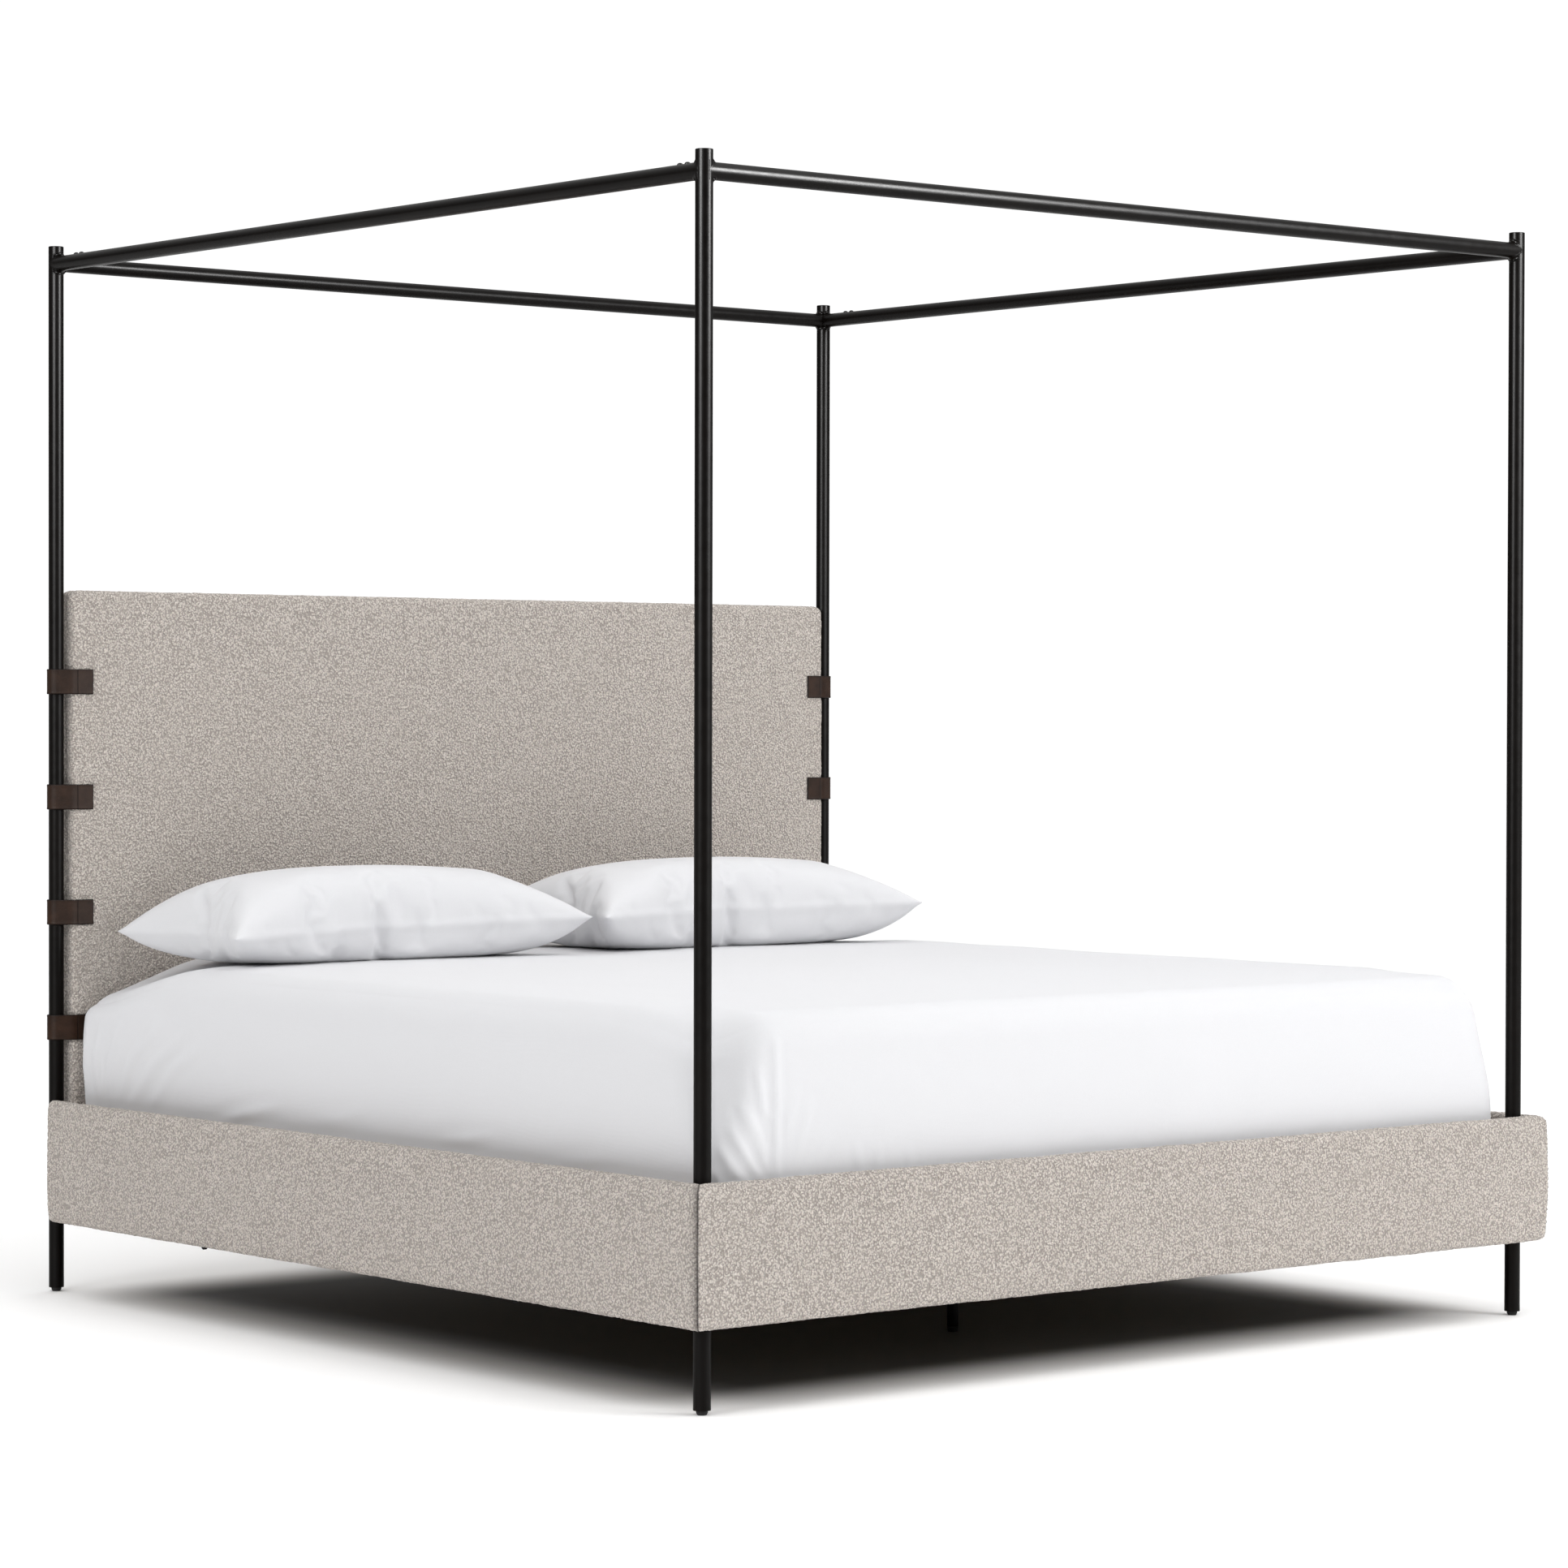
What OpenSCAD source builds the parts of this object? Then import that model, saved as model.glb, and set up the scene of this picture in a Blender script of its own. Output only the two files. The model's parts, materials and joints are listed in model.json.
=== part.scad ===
// Four poster canopy bed, king size.
// Millimetres. X runs across the bed, +Y points at the headboard, +Z is up.
// The origin is on the floor, under the middle of the bed's outer box.

/* [Mattress] */
// Width of the mattress
mattress_w = 1930; // [900:10:2000]
// Length of the mattress
mattress_len = 2032; // [1850:1:2150]
// Thickness of the mattress
mattress_t = 330; // [150:5:400]
// Radius of the mattress's upright corners, seen from above
mattress_corner_r = 60; // [30:1:90]
// Radius along the mattress's long and short edges
mattress_edge_r = 35; // [10:1:70]
// Room between the mattress and each post, across the bed
mattress_side_gap = 20; // [8:1:40]
// Room between the mattress and the headboard's front
mattress_head_gap = 5; // [3:1:30]
// Distance from the foot posts' centre line to the mattress
mattress_foot_gap = 6; // [2:1:60]
// Thickness of the fitted sheet
sheet_t = 1.5; // [1:0.5:3]

/* [Pillows] */
// Length of a stuffed pillow, across the bed
pillow_len = 880; // [500:10:920]
// Width of a stuffed pillow, along the bed
pillow_w = 450; // [350:10:560]
// Thickness of a stuffed pillow at its middle
pillow_t = 188; // [100:2:240]
// Distance from the headboard's front to a pillow's near edge
pillow_head_gap = 70; // [20:5:300]
// Distance from the bed's middle to the inner end of the left pillow
pillow_left_in = 55; // [50:1:75]
// Distance from the bed's middle to the inner end of the right pillow, less than nothing past it
pillow_right_in = -40; // [-45:1:75]

/* [Posts] */
// Outside diameter of every round tube
tube_d = 30; // [24:1:40]
// Wall of the posts and the top bars
tube_wall = 2; // [1.5:0.5:3]
// Height of the bed, from the floor to the top of a post
total_h = 2085; // [1700:5:2300]
// Distance from the top of a post down to the middle of a top bar
bar_drop = 35; // [25:1:80]
// Thickness of the cap welded on a post
post_cap_t = 3; // [2:0.5:6]
// Eased edge of the cap
post_cap_edge = 1.2; // [0.5:0.1:2]

/* [Top bar joints] */
// Reach of the welded stub at a foot post, from the post's centre
foot_stub_reach = 34; // [28:1:90]
// Reach of the welded stub at a head post, from the post's centre
head_stub_reach = 68; // [28:1:90]
// How far the spigot enters the long bar
spigot_in = 52; // [45:1:100]
// Wall of the spigot
spigot_wall = 4; // [3:0.5:6]
// Clearance of the spigot in the bar
spigot_fit = 0.1; // [0.05:0.05:0.5]
// Distance from the bar's end to its first screw
screw_first = 10; // [8:1:20]
// Distance between the two screws
screw_pitch = 20; // [14:1:30]
// Diameter of a screw's shank
screw_d = 6; // [4:0.5:8]
// Diameter of a screw's button head
screw_head_d = 10.5; // [8:0.5:16]
// Height of a screw's button head
screw_head_h = 3.2; // [2:0.1:5]

/* [Headboard] */
// Height of the headboard's bottom edge above the floor
hb_bottom = 345; // [340:1:420]
// Height of the headboard's top edge above the floor
hb_top = 1400; // [900:5:1600]
// Thickness of the upholstered headboard
hb_t = 54; // [46:1:80]
// Gap between the headboard's side and the post beside it
hb_post_gap = 7; // [6:1:45]
// Thickness of the plywood inside the headboard
hb_ply = 18; // [12:1:24]
// Radius of the headboard's corners, seen from the front
hb_corner_r = 20; // [8:1:60]
// Radius along the headboard's edges
hb_edge_r = 12; // [6:1:20]

/* [Straps] */
// Number of straps on each side
strap_count = 4; // [2:1:6]
// Width of a strap, up the post
strap_w = 50; // [30:1:80]
// Thickness of the leather
strap_t = 3; // [2:0.5:5]
// Height of the top strap's middle above the floor
strap_top_z = 1218; // [700:1:1500]
// Distance between neighbouring straps
strap_pitch = 230; // [120:1:300]
// Reach of the strap's tabs, from the post's centre
strap_reach = 68; // [56:1:140]
// Clearance of the strap around the post
strap_fit = 0.3; // [0:0.1:1]
// Distance of the strap's two screws from the tab's end
strap_screw_in = 14; // [8:1:24]
// Distance between the two screws of a strap
strap_screw_pitch = 28; // [12:1:40]

/* [Rails] */
// Height of the rails' bottom edge above the floor
rail_bottom = 145; // [120:1:200]
// Height of an upholstered rail
rail_h = 240; // [200:1:320]
// Gap between a rail's inner face and the posts beside it
rail_post_gap = 1; // [0.5:0.5:20]
// Thickness of an upholstered rail
rail_t = 29; // [26:1:60]
// Distance from the head posts' centre to the side rail's end
rail_head_gap = 45; // [30:1:80]
// Thickness of the plywood in a rail
rail_ply = 18; // [12:1:24]
// Padding over the plywood's top, bottom and free end
rail_pad = 6; // [3:1:20]
// Radius along a rail's edges
rail_edge_r = 12; // [6:1:14]
// Gap between the two rails' mitred ends
mitre_gap = 0.5; // [0.2:0.1:2]
// Thickness of the upholstery cloth with its lining
cover_t = 2; // [1:0.5:4]

/* [Rail fixings] */
// Thickness of the welded bracket plates
plate_t = 5; // [4:0.5:5]
// Gap between a bracket plate's top edge and the ledger above it
plate_gap = 9; // [2:1:12]
// Height of a bracket plate
plate_h = 108; // [80:1:110]
// Reach of a bracket plate, from the post's centre
plate_reach = 90; // [70:1:140]
// Distance from the post's centre to the bolts of a foot corner plate
bolt_in = 62; // [40:1:80]
// Distance between the two bolts of a plate
bolt_pitch = 60; // [40:1:70]
// Diameter of the rail bolts
bolt_d = 8; // [6:1:10]
// Clearance of the bolt holes in plates and cloth
bolt_clear = 1; // [0.4:0.1:2]
// Diameter of a rail bolt's head
bolt_head_d = 14; // [11:0.5:18]
// Height of a rail bolt's head
bolt_head_h = 4.5; // [3:0.5:6]
// Length of a rail bolt's shank
bolt_len = 21; // [18:1:22]
// Outside diameter of the threaded insert in the plywood
insert_d = 12; // [11:0.5:14]
// Length of the threaded insert
insert_len = 16; // [12:1:16]

/* [Slats] */
// Height of the top of the slats above the floor
deck_z = 330; // [300:1:360]
// Number of slats from foot to head
slat_count = 14; // [8:1:20]
// Width of a slat
slat_w = 72; // [50:1:90]
// Thickness of a slat
slat_t = 18; // [12:1:25]
// Gap between the foot posts and the first slat
slat_foot_gap = 11; // [5:1:60]
// Distance from the last slat to the ledgers' head end
slat_head_gap = 10; // [0:1:60]
// Room between a slat's outer end and the rail
slat_end_gap = 8; // [3:1:15]
// Width of a ledger strip and height of the timber under the slats
ledger_w = 40; // [32:1:50]
// Height of the ledgers and of the centre beam
ledger_h = 35; // [25:1:45]
// Width of the centre beam
beam_w = 60; // [45:1:90]
// Diameter of a wood screw
wood_screw_d = 5; // [4:0.5:6]
// Diameter of a wood screw's head
wood_head_d = 9; // [8:0.5:11]

/* [Cross beams] */
// Distance from the foot posts' centre line to the first cross beam
cross_foot = 500; // [350:5:700]
// Distance from the foot posts' centre line to the second cross beam
cross_head = 1500; // [1250:5:1800]
// Side of the square cross beam tube
cross_side = 30; // [20:1:35]
// Width of the cross beam hanger's tongue
tongue_w = 16; // [10:1:30]
// How far the rounded tongue shows under the rail
tongue_show = 9; // [4:1:20]
// Diameter of a centre leg
leg_d = 22; // [18:1:40]

/* [Feet] */
// Height of a post's foot
glide_h = 8; // [5:0.5:20]
// Diameter of a post's foot at the top
glide_d = 20; // [16:1:26]
// Height of a centre leg's foot
leg_glide_h = 10; // [6:0.5:20]
// Diameter of a foot's threaded stem
stem_d = 8; // [6:0.5:10]
// Running clearance around a stem
stem_fit = 0.05; // [0.02:0.01:0.1]
// Length of a foot's stem
stem_len = 34; // [26:1:50]
// Length of the threaded plug in a post
plug_len = 24; // [16:1:40]
// Gap between a foot and the tube above it
glide_gap = 0.5; // [0.3:0.1:1]

/* [Hidden] */

$fn = 64;
big = 5000;       // larger than the bed, for cuts
eps = 0.01;
STEEL = [0.11, 0.10, 0.09];
LEATHER = [0.25, 0.15, 0.10];
BOUCLE = [0.76, 0.72, 0.67];
PINE = [0.82, 0.68, 0.48];
PLY = [0.72, 0.58, 0.40];
FOAM = [0.93, 0.89, 0.74];
LINEN = [0.93, 0.93, 0.94];
BLACK = [0.06, 0.06, 0.06];
ZINC = [0.62, 0.63, 0.64];

// Overall places, all worked out from the mattress and the tubes
tube_r = tube_d / 2;
rail_in = tube_r + rail_post_gap;
rail_out = rail_in + rail_t;
half_w = mattress_w / 2 + mattress_side_gap + tube_r;
post_len_y = mattress_foot_gap + mattress_len + mattress_head_gap + hb_t / 2;
strap_head_h = 2.5;
back_reach = hb_t / 2 + strap_t + strap_head_h;
foot_y = (rail_out - post_len_y - back_reach) / 2;
head_y = foot_y + post_len_y;
post_top = total_h - post_cap_t;
bar_z = total_h - bar_drop;
bore_r = tube_r - tube_wall;
spigot_r = bore_r - spigot_fit;

rail_top = rail_bottom + rail_h;
rail_end_y = head_y - rail_head_gap;
core_s0 = rail_in + cover_t;
core_s1 = core_s0 + rail_ply;
core_inset = max(cover_t + rail_pad, rail_edge_r);
core_z0 = rail_bottom + core_inset;
core_z1 = rail_top - core_inset;
core_end_y = rail_end_y - core_inset;

slat_z0 = deck_z - slat_t;
ledger_z0 = slat_z0 - ledger_h;
ledger_s = rail_in - ledger_w;
ledger_y0 = foot_y + tube_r + 5;
ledger_y1 = rail_end_y - 5;
slat_y0 = foot_y + tube_r + slat_foot_gap + slat_w / 2;
slat_pitch = (ledger_y1 - slat_head_gap - slat_w / 2 - slat_y0) / (slat_count - 1);
slat_tip = half_w + rail_in - slat_end_gap;
slat_middle_gap = 3;
wood_head_h = 3;

plate_s = rail_in - plate_t;
plate_z = ledger_z0 - plate_gap - plate_h;
bolt_z0 = plate_z + (plate_h - bolt_pitch) / 2;
head_bolt_in = rail_head_gap + core_inset + insert_d + 16;
head_plate_reach = head_bolt_in + plate_reach - bolt_in;

hb_half_w = half_w - tube_r - hb_post_gap;
strap_bend = tube_r + hb_post_gap;
hb_wrap = 10;     // foam around the panel's sides and top
ply_half_w = hb_half_w - max(cover_t + hb_wrap, hb_corner_r);

cross_ys = [foot_y + cross_foot, foot_y + cross_head];
cross_z0 = ledger_z0 - cross_side;
hanger_w = 34;
hanger_drop = 45;
hanger_bolt_z = cross_z0 - 20;
leg_wall = 2;
leg_flange_d = 44;
leg_flange_t = 3;

cross_rail_w = 30;
cross_rail_h = 50;
socket_t = 4;
socket_w = beam_w + 20;
socket_shelf = 45;
beam_y0 = foot_y - rail_in + socket_t + 1;
beam_y1 = head_y - cross_rail_w / 2 - socket_t - 1;

mattress_y0 = foot_y + mattress_foot_gap;
mattress_y1 = mattress_y0 + mattress_len;
rest_gap = 0.3;
mattress_z0 = deck_z + rest_gap;
mattress_z1 = deck_z + mattress_t;
pillow_z0 = mattress_z1 + sheet_t + rest_gap;
pillow_y1 = head_y - hb_t / 2 - pillow_head_gap;

// Signs of the four corners: [across, along], head posts first
CORNERS = [[-1, 1], [1, 1], [-1, -1], [1, -1]];
function post_y(along) = along > 0 ? head_y : foot_y;
function strap_z(i) = strap_top_z - i * strap_pitch;
function slat_y(i) = slat_y0 + i * slat_pitch;

// ---- shared shapes ----

module ring(r, wall, h) {
    linear_extrude(h) difference() {
        circle(r);
        circle(r - wall);
    }
}

// Rounded rectangle between two corners, made of circles and squares
module round_rect(x0, y0, x1, y1, r) {
    translate([x0 + r, y0]) square([x1 - x0 - 2 * r, y1 - y0]);
    translate([x0, y0 + r]) square([x1 - x0, y1 - y0 - 2 * r]);
    for (x = [x0 + r, x1 - r], y = [y0 + r, y1 - r]) translate([x, y]) circle(r);
}

// Cylinder of radius r along X or along Y through [x, y, z]
module along_x(x, y, z, r, len) translate([x, y, z]) rotate([0, 90, 0]) cylinder(r = r, h = len);
module along_y(x, y, z, r, len) translate([x, y, z]) rotate([-90, 0, 0]) cylinder(r = r, h = len);

// Extrudes an outline drawn in (X, Z) from y0 to y1
module slab_y(y0, y1) translate([0, y1, 0]) rotate([90, 0, 0]) linear_extrude(y1 - y0) children();
// Extrudes an outline drawn in (Y, Z) from x0 to x1
module slab_x(x0, x1) translate([x0, 0, 0]) rotate([90, 0, 90]) linear_extrude(x1 - x0) children();

module at_posts() for (c = CORNERS) translate([c[0] * half_w, post_y(c[1]), 0]) children();

// ---- steel posts and top bars ----

module post(sx, along) {
    color(STEEL) translate([sx * half_w, post_y(along), glide_h])
        ring(tube_r, tube_wall, post_top - glide_h);
}

module post_cap() {
    rotate_extrude() union() {
        square([tube_r, post_cap_t - post_cap_edge]);
        square([tube_r - post_cap_edge, post_cap_t]);
        translate([tube_r - post_cap_edge, post_cap_t - post_cap_edge]) intersection() {
            circle(post_cap_edge);
            square(post_cap_edge);
        }
    }
}

module post_caps() color(STEEL) at_posts() translate([0, 0, post_top]) post_cap();

// What the end bars are coped against: the posts, and the stubs on their inner side
module bar_cope(y) {
    for (sx = [-1, 1]) {
        translate([sx * half_w, y, bar_z - tube_d]) cylinder(r = tube_r, h = 2 * tube_d);
        along_y(sx * half_w, y > 0 ? y - tube_d : y, bar_z, tube_r, tube_d);
    }
}

module end_bar(y) {
    color(STEEL) difference() {
        translate([-half_w, y, bar_z]) rotate([0, 90, 0]) ring(tube_r, tube_wall, 2 * half_w);
        bar_cope(y);
    }
}

side_bar_y0 = foot_y + foot_stub_reach;
side_bar_y1 = head_y - head_stub_reach;
foot_screw_ys = [side_bar_y0 + screw_first, side_bar_y0 + screw_first + screw_pitch];
head_screw_ys = [side_bar_y1 - screw_first, side_bar_y1 - screw_first - screw_pitch];
BAR_SCREW_YS = concat(foot_screw_ys, head_screw_ys);
screw_clear = 0.2;

module side_top_bar(sx) {
    color(STEEL) difference() {
        translate([sx * half_w, side_bar_y0, bar_z]) rotate([-90, 0, 0])
            ring(tube_r, tube_wall, side_bar_y1 - side_bar_y0);
        for (y = BAR_SCREW_YS) translate([sx * half_w, y, bar_z])
            cylinder(r = screw_d / 2 + screw_clear, h = tube_d);
    }
}

// Welded sleeve with its spigot, pointing along +Y from the post's centre
module stub(reach) {
    difference() {
        union() {
            along_y(0, 0, 0, tube_r, reach);
            along_y(0, 0, 0, spigot_r, reach + spigot_in);
        }
        along_y(0, -eps, 0, spigot_r - spigot_wall, reach + spigot_in + 1);
        translate([0, 0, -tube_d]) cylinder(r = tube_r, h = 2 * tube_d);
        for (d = [screw_first, screw_first + screw_pitch]) translate([0, reach + d, 0])
            cylinder(r = screw_d / 2, h = tube_d);
    }
}

module bar_stubs() {
    color(STEEL) for (sx = [-1, 1]) {
        translate([sx * half_w, foot_y, bar_z]) stub(foot_stub_reach);
        translate([sx * half_w, head_y, bar_z]) rotate(180) stub(head_stub_reach);
    }
}

module canopy_screw() {
    shank_z = spigot_r - spigot_wall;
    translate([0, 0, shank_z]) cylinder(r = screw_d / 2, h = tube_r - shank_z + 1);
    difference() {
        translate([0, 0, tube_r - 1]) rotate_extrude() intersection() {
            square([screw_head_d / 2, screw_head_h + 1]);
            translate([0, -screw_head_d / 2]) circle(screw_head_d / 2 + screw_head_h + 1);
        }
        along_y(0, -screw_head_d, 0, tube_r, 2 * screw_head_d);
        translate([0, 0, tube_r + screw_head_h - 1.6]) cylinder(r = 2, h = 3);
    }
}

module canopy_screws() {
    color(STEEL) for (sx = [-1, 1], y = BAR_SCREW_YS)
        translate([sx * half_w, y, bar_z]) canopy_screw();
}

// ---- headboard ----

// Solid of the headboard, drawn in by d on every side
module headboard_block(d) {
    intersection() {
        slab_y(head_y - hb_t / 2 + d, head_y + hb_t / 2 - d)
            round_rect(-hb_half_w + d, hb_bottom + d, hb_half_w - d, hb_top - d, hb_corner_r - d);
        translate([0, 0, hb_bottom]) linear_extrude(hb_top - hb_bottom)
            round_rect(-hb_half_w + d, head_y - hb_t / 2 + d,
                hb_half_w - d, head_y + hb_t / 2 - d, hb_edge_r - d);
        slab_x(-hb_half_w, hb_half_w)
            round_rect(head_y - hb_t / 2 + d, hb_bottom + d,
                head_y + hb_t / 2 - d, hb_top - d, hb_edge_r - d);
    }
}

module headboard_ply() {
    translate([-ply_half_w, head_y - hb_ply / 2, hb_bottom + cover_t])
        cube([2 * ply_half_w, hb_ply, hb_top - hb_bottom - 2 * cover_t - hb_wrap]);
}

strap_screw_len = strap_t + (hb_t - hb_ply) / 2 + 12;
strap_screw_r = 2.25;

module at_strap_screws(sx) {
    for (i = [0 : strap_count - 1], dz = [-1, 1])
        translate([sx * (half_w - strap_reach + strap_screw_in), head_y + hb_t / 2,
            strap_z(i) + dz * strap_screw_pitch / 2]) children();
}

module strap_screw_holes() {
    for (sx = [-1, 1]) at_strap_screws(sx)
        along_y(0, strap_t - strap_screw_len, 0, strap_screw_r, strap_screw_len + 1);
}

module headboard_panel() {
    color(PLY) difference() {
        headboard_ply();
        strap_screw_holes();
    }
}

module headboard_foam() {
    color(FOAM) difference() {
        headboard_block(cover_t);
        headboard_ply();
        strap_screw_holes();
    }
}

module headboard_cover() {
    color(BOUCLE) difference() {
        headboard_block(0);
        headboard_block(cover_t);
        strap_screw_holes();
    }
}

// Point where a line from p touches the circle of radius r about the origin
function touch(r, p) =
    let (a = atan2(p[1], p[0]) + acos(r / norm(p))) [r * cos(a), r * sin(a)];

// Plan of the space within a strap: round the post, out to the bend, then straight
module strap_plan(r, v) {
    bend = [strap_bend, v];
    t = touch(r, bend);
    circle(r);
    polygon([[0, 0], t, bend, [strap_bend, -v], [t[0], -t[1]]]);
    translate([strap_bend - eps, -v]) square([strap_reach - strap_bend + eps, 2 * v]);
}

module strap(sx, i) {
    r_in = tube_r + strap_fit;
    color(LEATHER) difference() {
        translate([sx * half_w, head_y, strap_z(i) - strap_w / 2]) mirror([sx > 0 ? 1 : 0, 0, 0])
            linear_extrude(strap_w) difference() {
                strap_plan(r_in + strap_t, hb_t / 2 + strap_t);
                strap_plan(r_in, hb_t / 2);
                translate([strap_reach - eps, -hb_t / 2]) square([1, hb_t]);
            }
        strap_screw_holes();
    }
}

module strap_screws() {
    color(STEEL) for (sx = [-1, 1]) at_strap_screws(sx) {
        along_y(0, strap_t - strap_screw_len, 0, strap_screw_r, strap_screw_len);
        translate([0, strap_t, 0]) rotate([-90, 0, 0]) rotate_extrude() intersection() {
            square([4.5, strap_head_h]);
            translate([0, strap_head_h - 6]) circle(6);
        }
    }
}

// ---- upholstered rails ----

// Section of a rail between s0 and s1, outwards from the posts' line, drawn in by d
module rail_section(d) {
    round_rect(rail_in + d, rail_bottom + d, rail_out - d, rail_top - d, rail_edge_r - d);
}

// Plan of the left side rail in (outwards, Y), with its foot end mitred
function mitre_shift(d) = (mitre_gap / 2 + d) * sqrt(2);
module side_plan(s0, s1, d, y_end) {
    k = mitre_shift(d);
    polygon([[s0, foot_y - s0 + k], [s1, foot_y - s1 + k], [s1, y_end], [s0, y_end]]);
}

module side_rail_block(sx, d) {
    translate([sx * half_w, 0, 0]) mirror([sx < 0 ? 1 : 0, 0, 0]) intersection() {
        translate([0, 0, rail_bottom]) linear_extrude(rail_h)
            side_plan(rail_in + d, rail_out - d, d, rail_end_y - d);
        slab_y(foot_y - rail_out, head_y) rail_section(d);
    }
}

module side_ply(sx) {
    translate([sx * half_w, 0, core_z0]) mirror([sx < 0 ? 1 : 0, 0, 0])
        linear_extrude(core_z1 - core_z0) side_plan(core_s0, core_s1, cover_t, core_end_y);
}

// Plan of the foot rail between s0 and s1, with both ends mitred
module foot_plan(s0, s1, d) {
    k = mitre_shift(d);
    x0 = half_w + s0 - k;
    x1 = half_w + s1 - k;
    polygon([[-x0, foot_y - s0], [x0, foot_y - s0], [x1, foot_y - s1], [-x1, foot_y - s1]]);
}

module foot_rail_block(d) {
    intersection() {
        translate([0, 0, rail_bottom]) linear_extrude(rail_h)
            foot_plan(rail_in + d, rail_out - d, d);
        slab_x(-half_w - rail_out, half_w + rail_out)
            round_rect(foot_y - rail_out + d, rail_bottom + d,
                foot_y - rail_in - d, rail_top - d, rail_edge_r - d);
    }
}

module foot_ply() {
    translate([0, 0, core_z0]) linear_extrude(core_z1 - core_z0)
        foot_plan(core_s0, core_s1, cover_t);
}

// Bolt places: children are drawn with +X outwards and X = 0 on the posts' line
corner_bolt_zs = [bolt_z0, bolt_z0 + bolt_pitch];
module at_side_bolts(sx) {
    for (y = [foot_y + bolt_in, head_y - head_bolt_in], z = corner_bolt_zs)
        translate([sx * half_w, y, z]) rotate(sx > 0 ? 0 : 180) children();
    for (y = cross_ys) translate([sx * half_w, y, hanger_bolt_z])
        rotate(sx > 0 ? 0 : 180) children();
}
module at_foot_bolts() {
    for (sx = [-1, 1], z = corner_bolt_zs)
        translate([sx * (half_w - bolt_in), foot_y, z]) rotate(-90) children();
}

bolt_hole_r = (bolt_d + bolt_clear) / 2;
module bolt_hole() along_x(plate_s - 1, 0, 0, bolt_hole_r, core_s0 - plate_s + 1);
module insert_hole() along_x(core_s0 - eps, 0, 0, insert_d / 2, insert_len + eps);

// Wood screws through the ledgers into the rails
ledger_screw_count = 7;
ledger_screw_z = ledger_z0 + ledger_h / 2;
ledger_screw_len = ledger_w + cover_t + rail_ply - 6;
ledger_screw_pitch = (ledger_y1 - ledger_y0 - 120) / (ledger_screw_count - 1);
module at_ledger_screws(sx) {
    for (i = [0 : ledger_screw_count - 1])
        translate([sx * half_w, ledger_y0 + 60 + i * ledger_screw_pitch, ledger_screw_z])
            rotate(sx > 0 ? 0 : 180) translate([ledger_s, 0, 0]) children();
}

// Wood screws through the foot socket's back plate
socket_screw_len = socket_t + cover_t + rail_ply - 4;
module at_socket_screws() {
    for (dx = [-1, 1])
        translate([dx * (socket_w / 2 - 8), foot_y - rail_in + socket_t, ledger_z0 - 12])
            rotate(-90) children();
}

module wood_screw(len) {
    along_x(0, 0, 0, wood_screw_d / 2, len);
    rotate([0, 90, 0]) cylinder(r1 = wood_head_d / 2, r2 = wood_screw_d / 2, h = wood_head_h);
}

module side_rail_core(sx) {
    color(PLY) difference() {
        side_ply(sx);
        at_side_bolts(sx) insert_hole();
        at_ledger_screws(sx) along_x(0, 0, 0, wood_screw_d / 2, ledger_screw_len);
    }
}

module foot_rail_core() {
    color(PLY) difference() {
        foot_ply();
        at_foot_bolts() insert_hole();
        at_socket_screws() along_x(0, 0, 0, wood_screw_d / 2, socket_screw_len);
    }
}

module rail_foams() {
    color(FOAM) {
        for (sx = [-1, 1]) difference() {
            side_rail_block(sx, cover_t);
            side_ply(sx);
        }
        difference() {
            foot_rail_block(cover_t);
            foot_ply();
        }
    }
}

module side_rail_cover(sx) {
    color(BOUCLE) difference() {
        side_rail_block(sx, 0);
        side_rail_block(sx, cover_t);
        at_side_bolts(sx) bolt_hole();
        at_ledger_screws(sx) along_x(0, 0, 0, wood_screw_d / 2, ledger_screw_len);
    }
}

module foot_rail_cover() {
    color(BOUCLE) difference() {
        foot_rail_block(0);
        foot_rail_block(cover_t);
        at_foot_bolts() bolt_hole();
        at_socket_screws() along_x(0, 0, 0, wood_screw_d / 2, socket_screw_len);
    }
}

// ---- brackets and bolts ----

module post_cut() at_posts() cylinder(r = tube_r, h = post_top);

// Plate on the inner face of a side rail between y0 and y1
module side_plate(sx, y0, y1) {
    s = sx > 0 ? plate_s : -plate_s - plate_t;
    translate([sx * half_w + s, y0, plate_z]) cube([plate_t, y1 - y0, plate_h]);
}

module head_bracket(sx) {
    color(STEEL) difference() {
        side_plate(sx, head_y - head_plate_reach, head_y);
        post_cut();
        at_side_bolts(sx) bolt_hole();
    }
}

module foot_bracket(sx) {
    reach = plate_reach;
    color(STEEL) difference() {
        union() {
            side_plate(sx, foot_y, foot_y + reach);
            translate([sx > 0 ? half_w - reach : -half_w, foot_y - rail_in, plate_z])
                cube([reach, plate_t, plate_h]);
        }
        post_cut();
        at_side_bolts(sx) bolt_hole();
        at_foot_bolts() bolt_hole();
    }
}

module rail_bolt() {
    along_x(plate_s, 0, 0, bolt_d / 2, bolt_len);
    along_x(plate_s - bolt_head_h, 0, 0, bolt_head_d / 2, bolt_head_h);
}

module rail_bolts() {
    color(ZINC) {
        for (sx = [-1, 1]) at_side_bolts(sx) rail_bolt();
        at_foot_bolts() rail_bolt();
    }
}

module rail_insert() {
    difference() {
        along_x(core_s0, 0, 0, insert_d / 2, insert_len);
        along_x(core_s0 - eps, 0, 0, bolt_d / 2, insert_len + 1);
    }
}

module rail_inserts() {
    color(ZINC) {
        for (sx = [-1, 1]) at_side_bolts(sx) rail_insert();
        at_foot_bolts() rail_insert();
    }
}

// ---- head cross rail, ledgers, beams and legs ----

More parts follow.
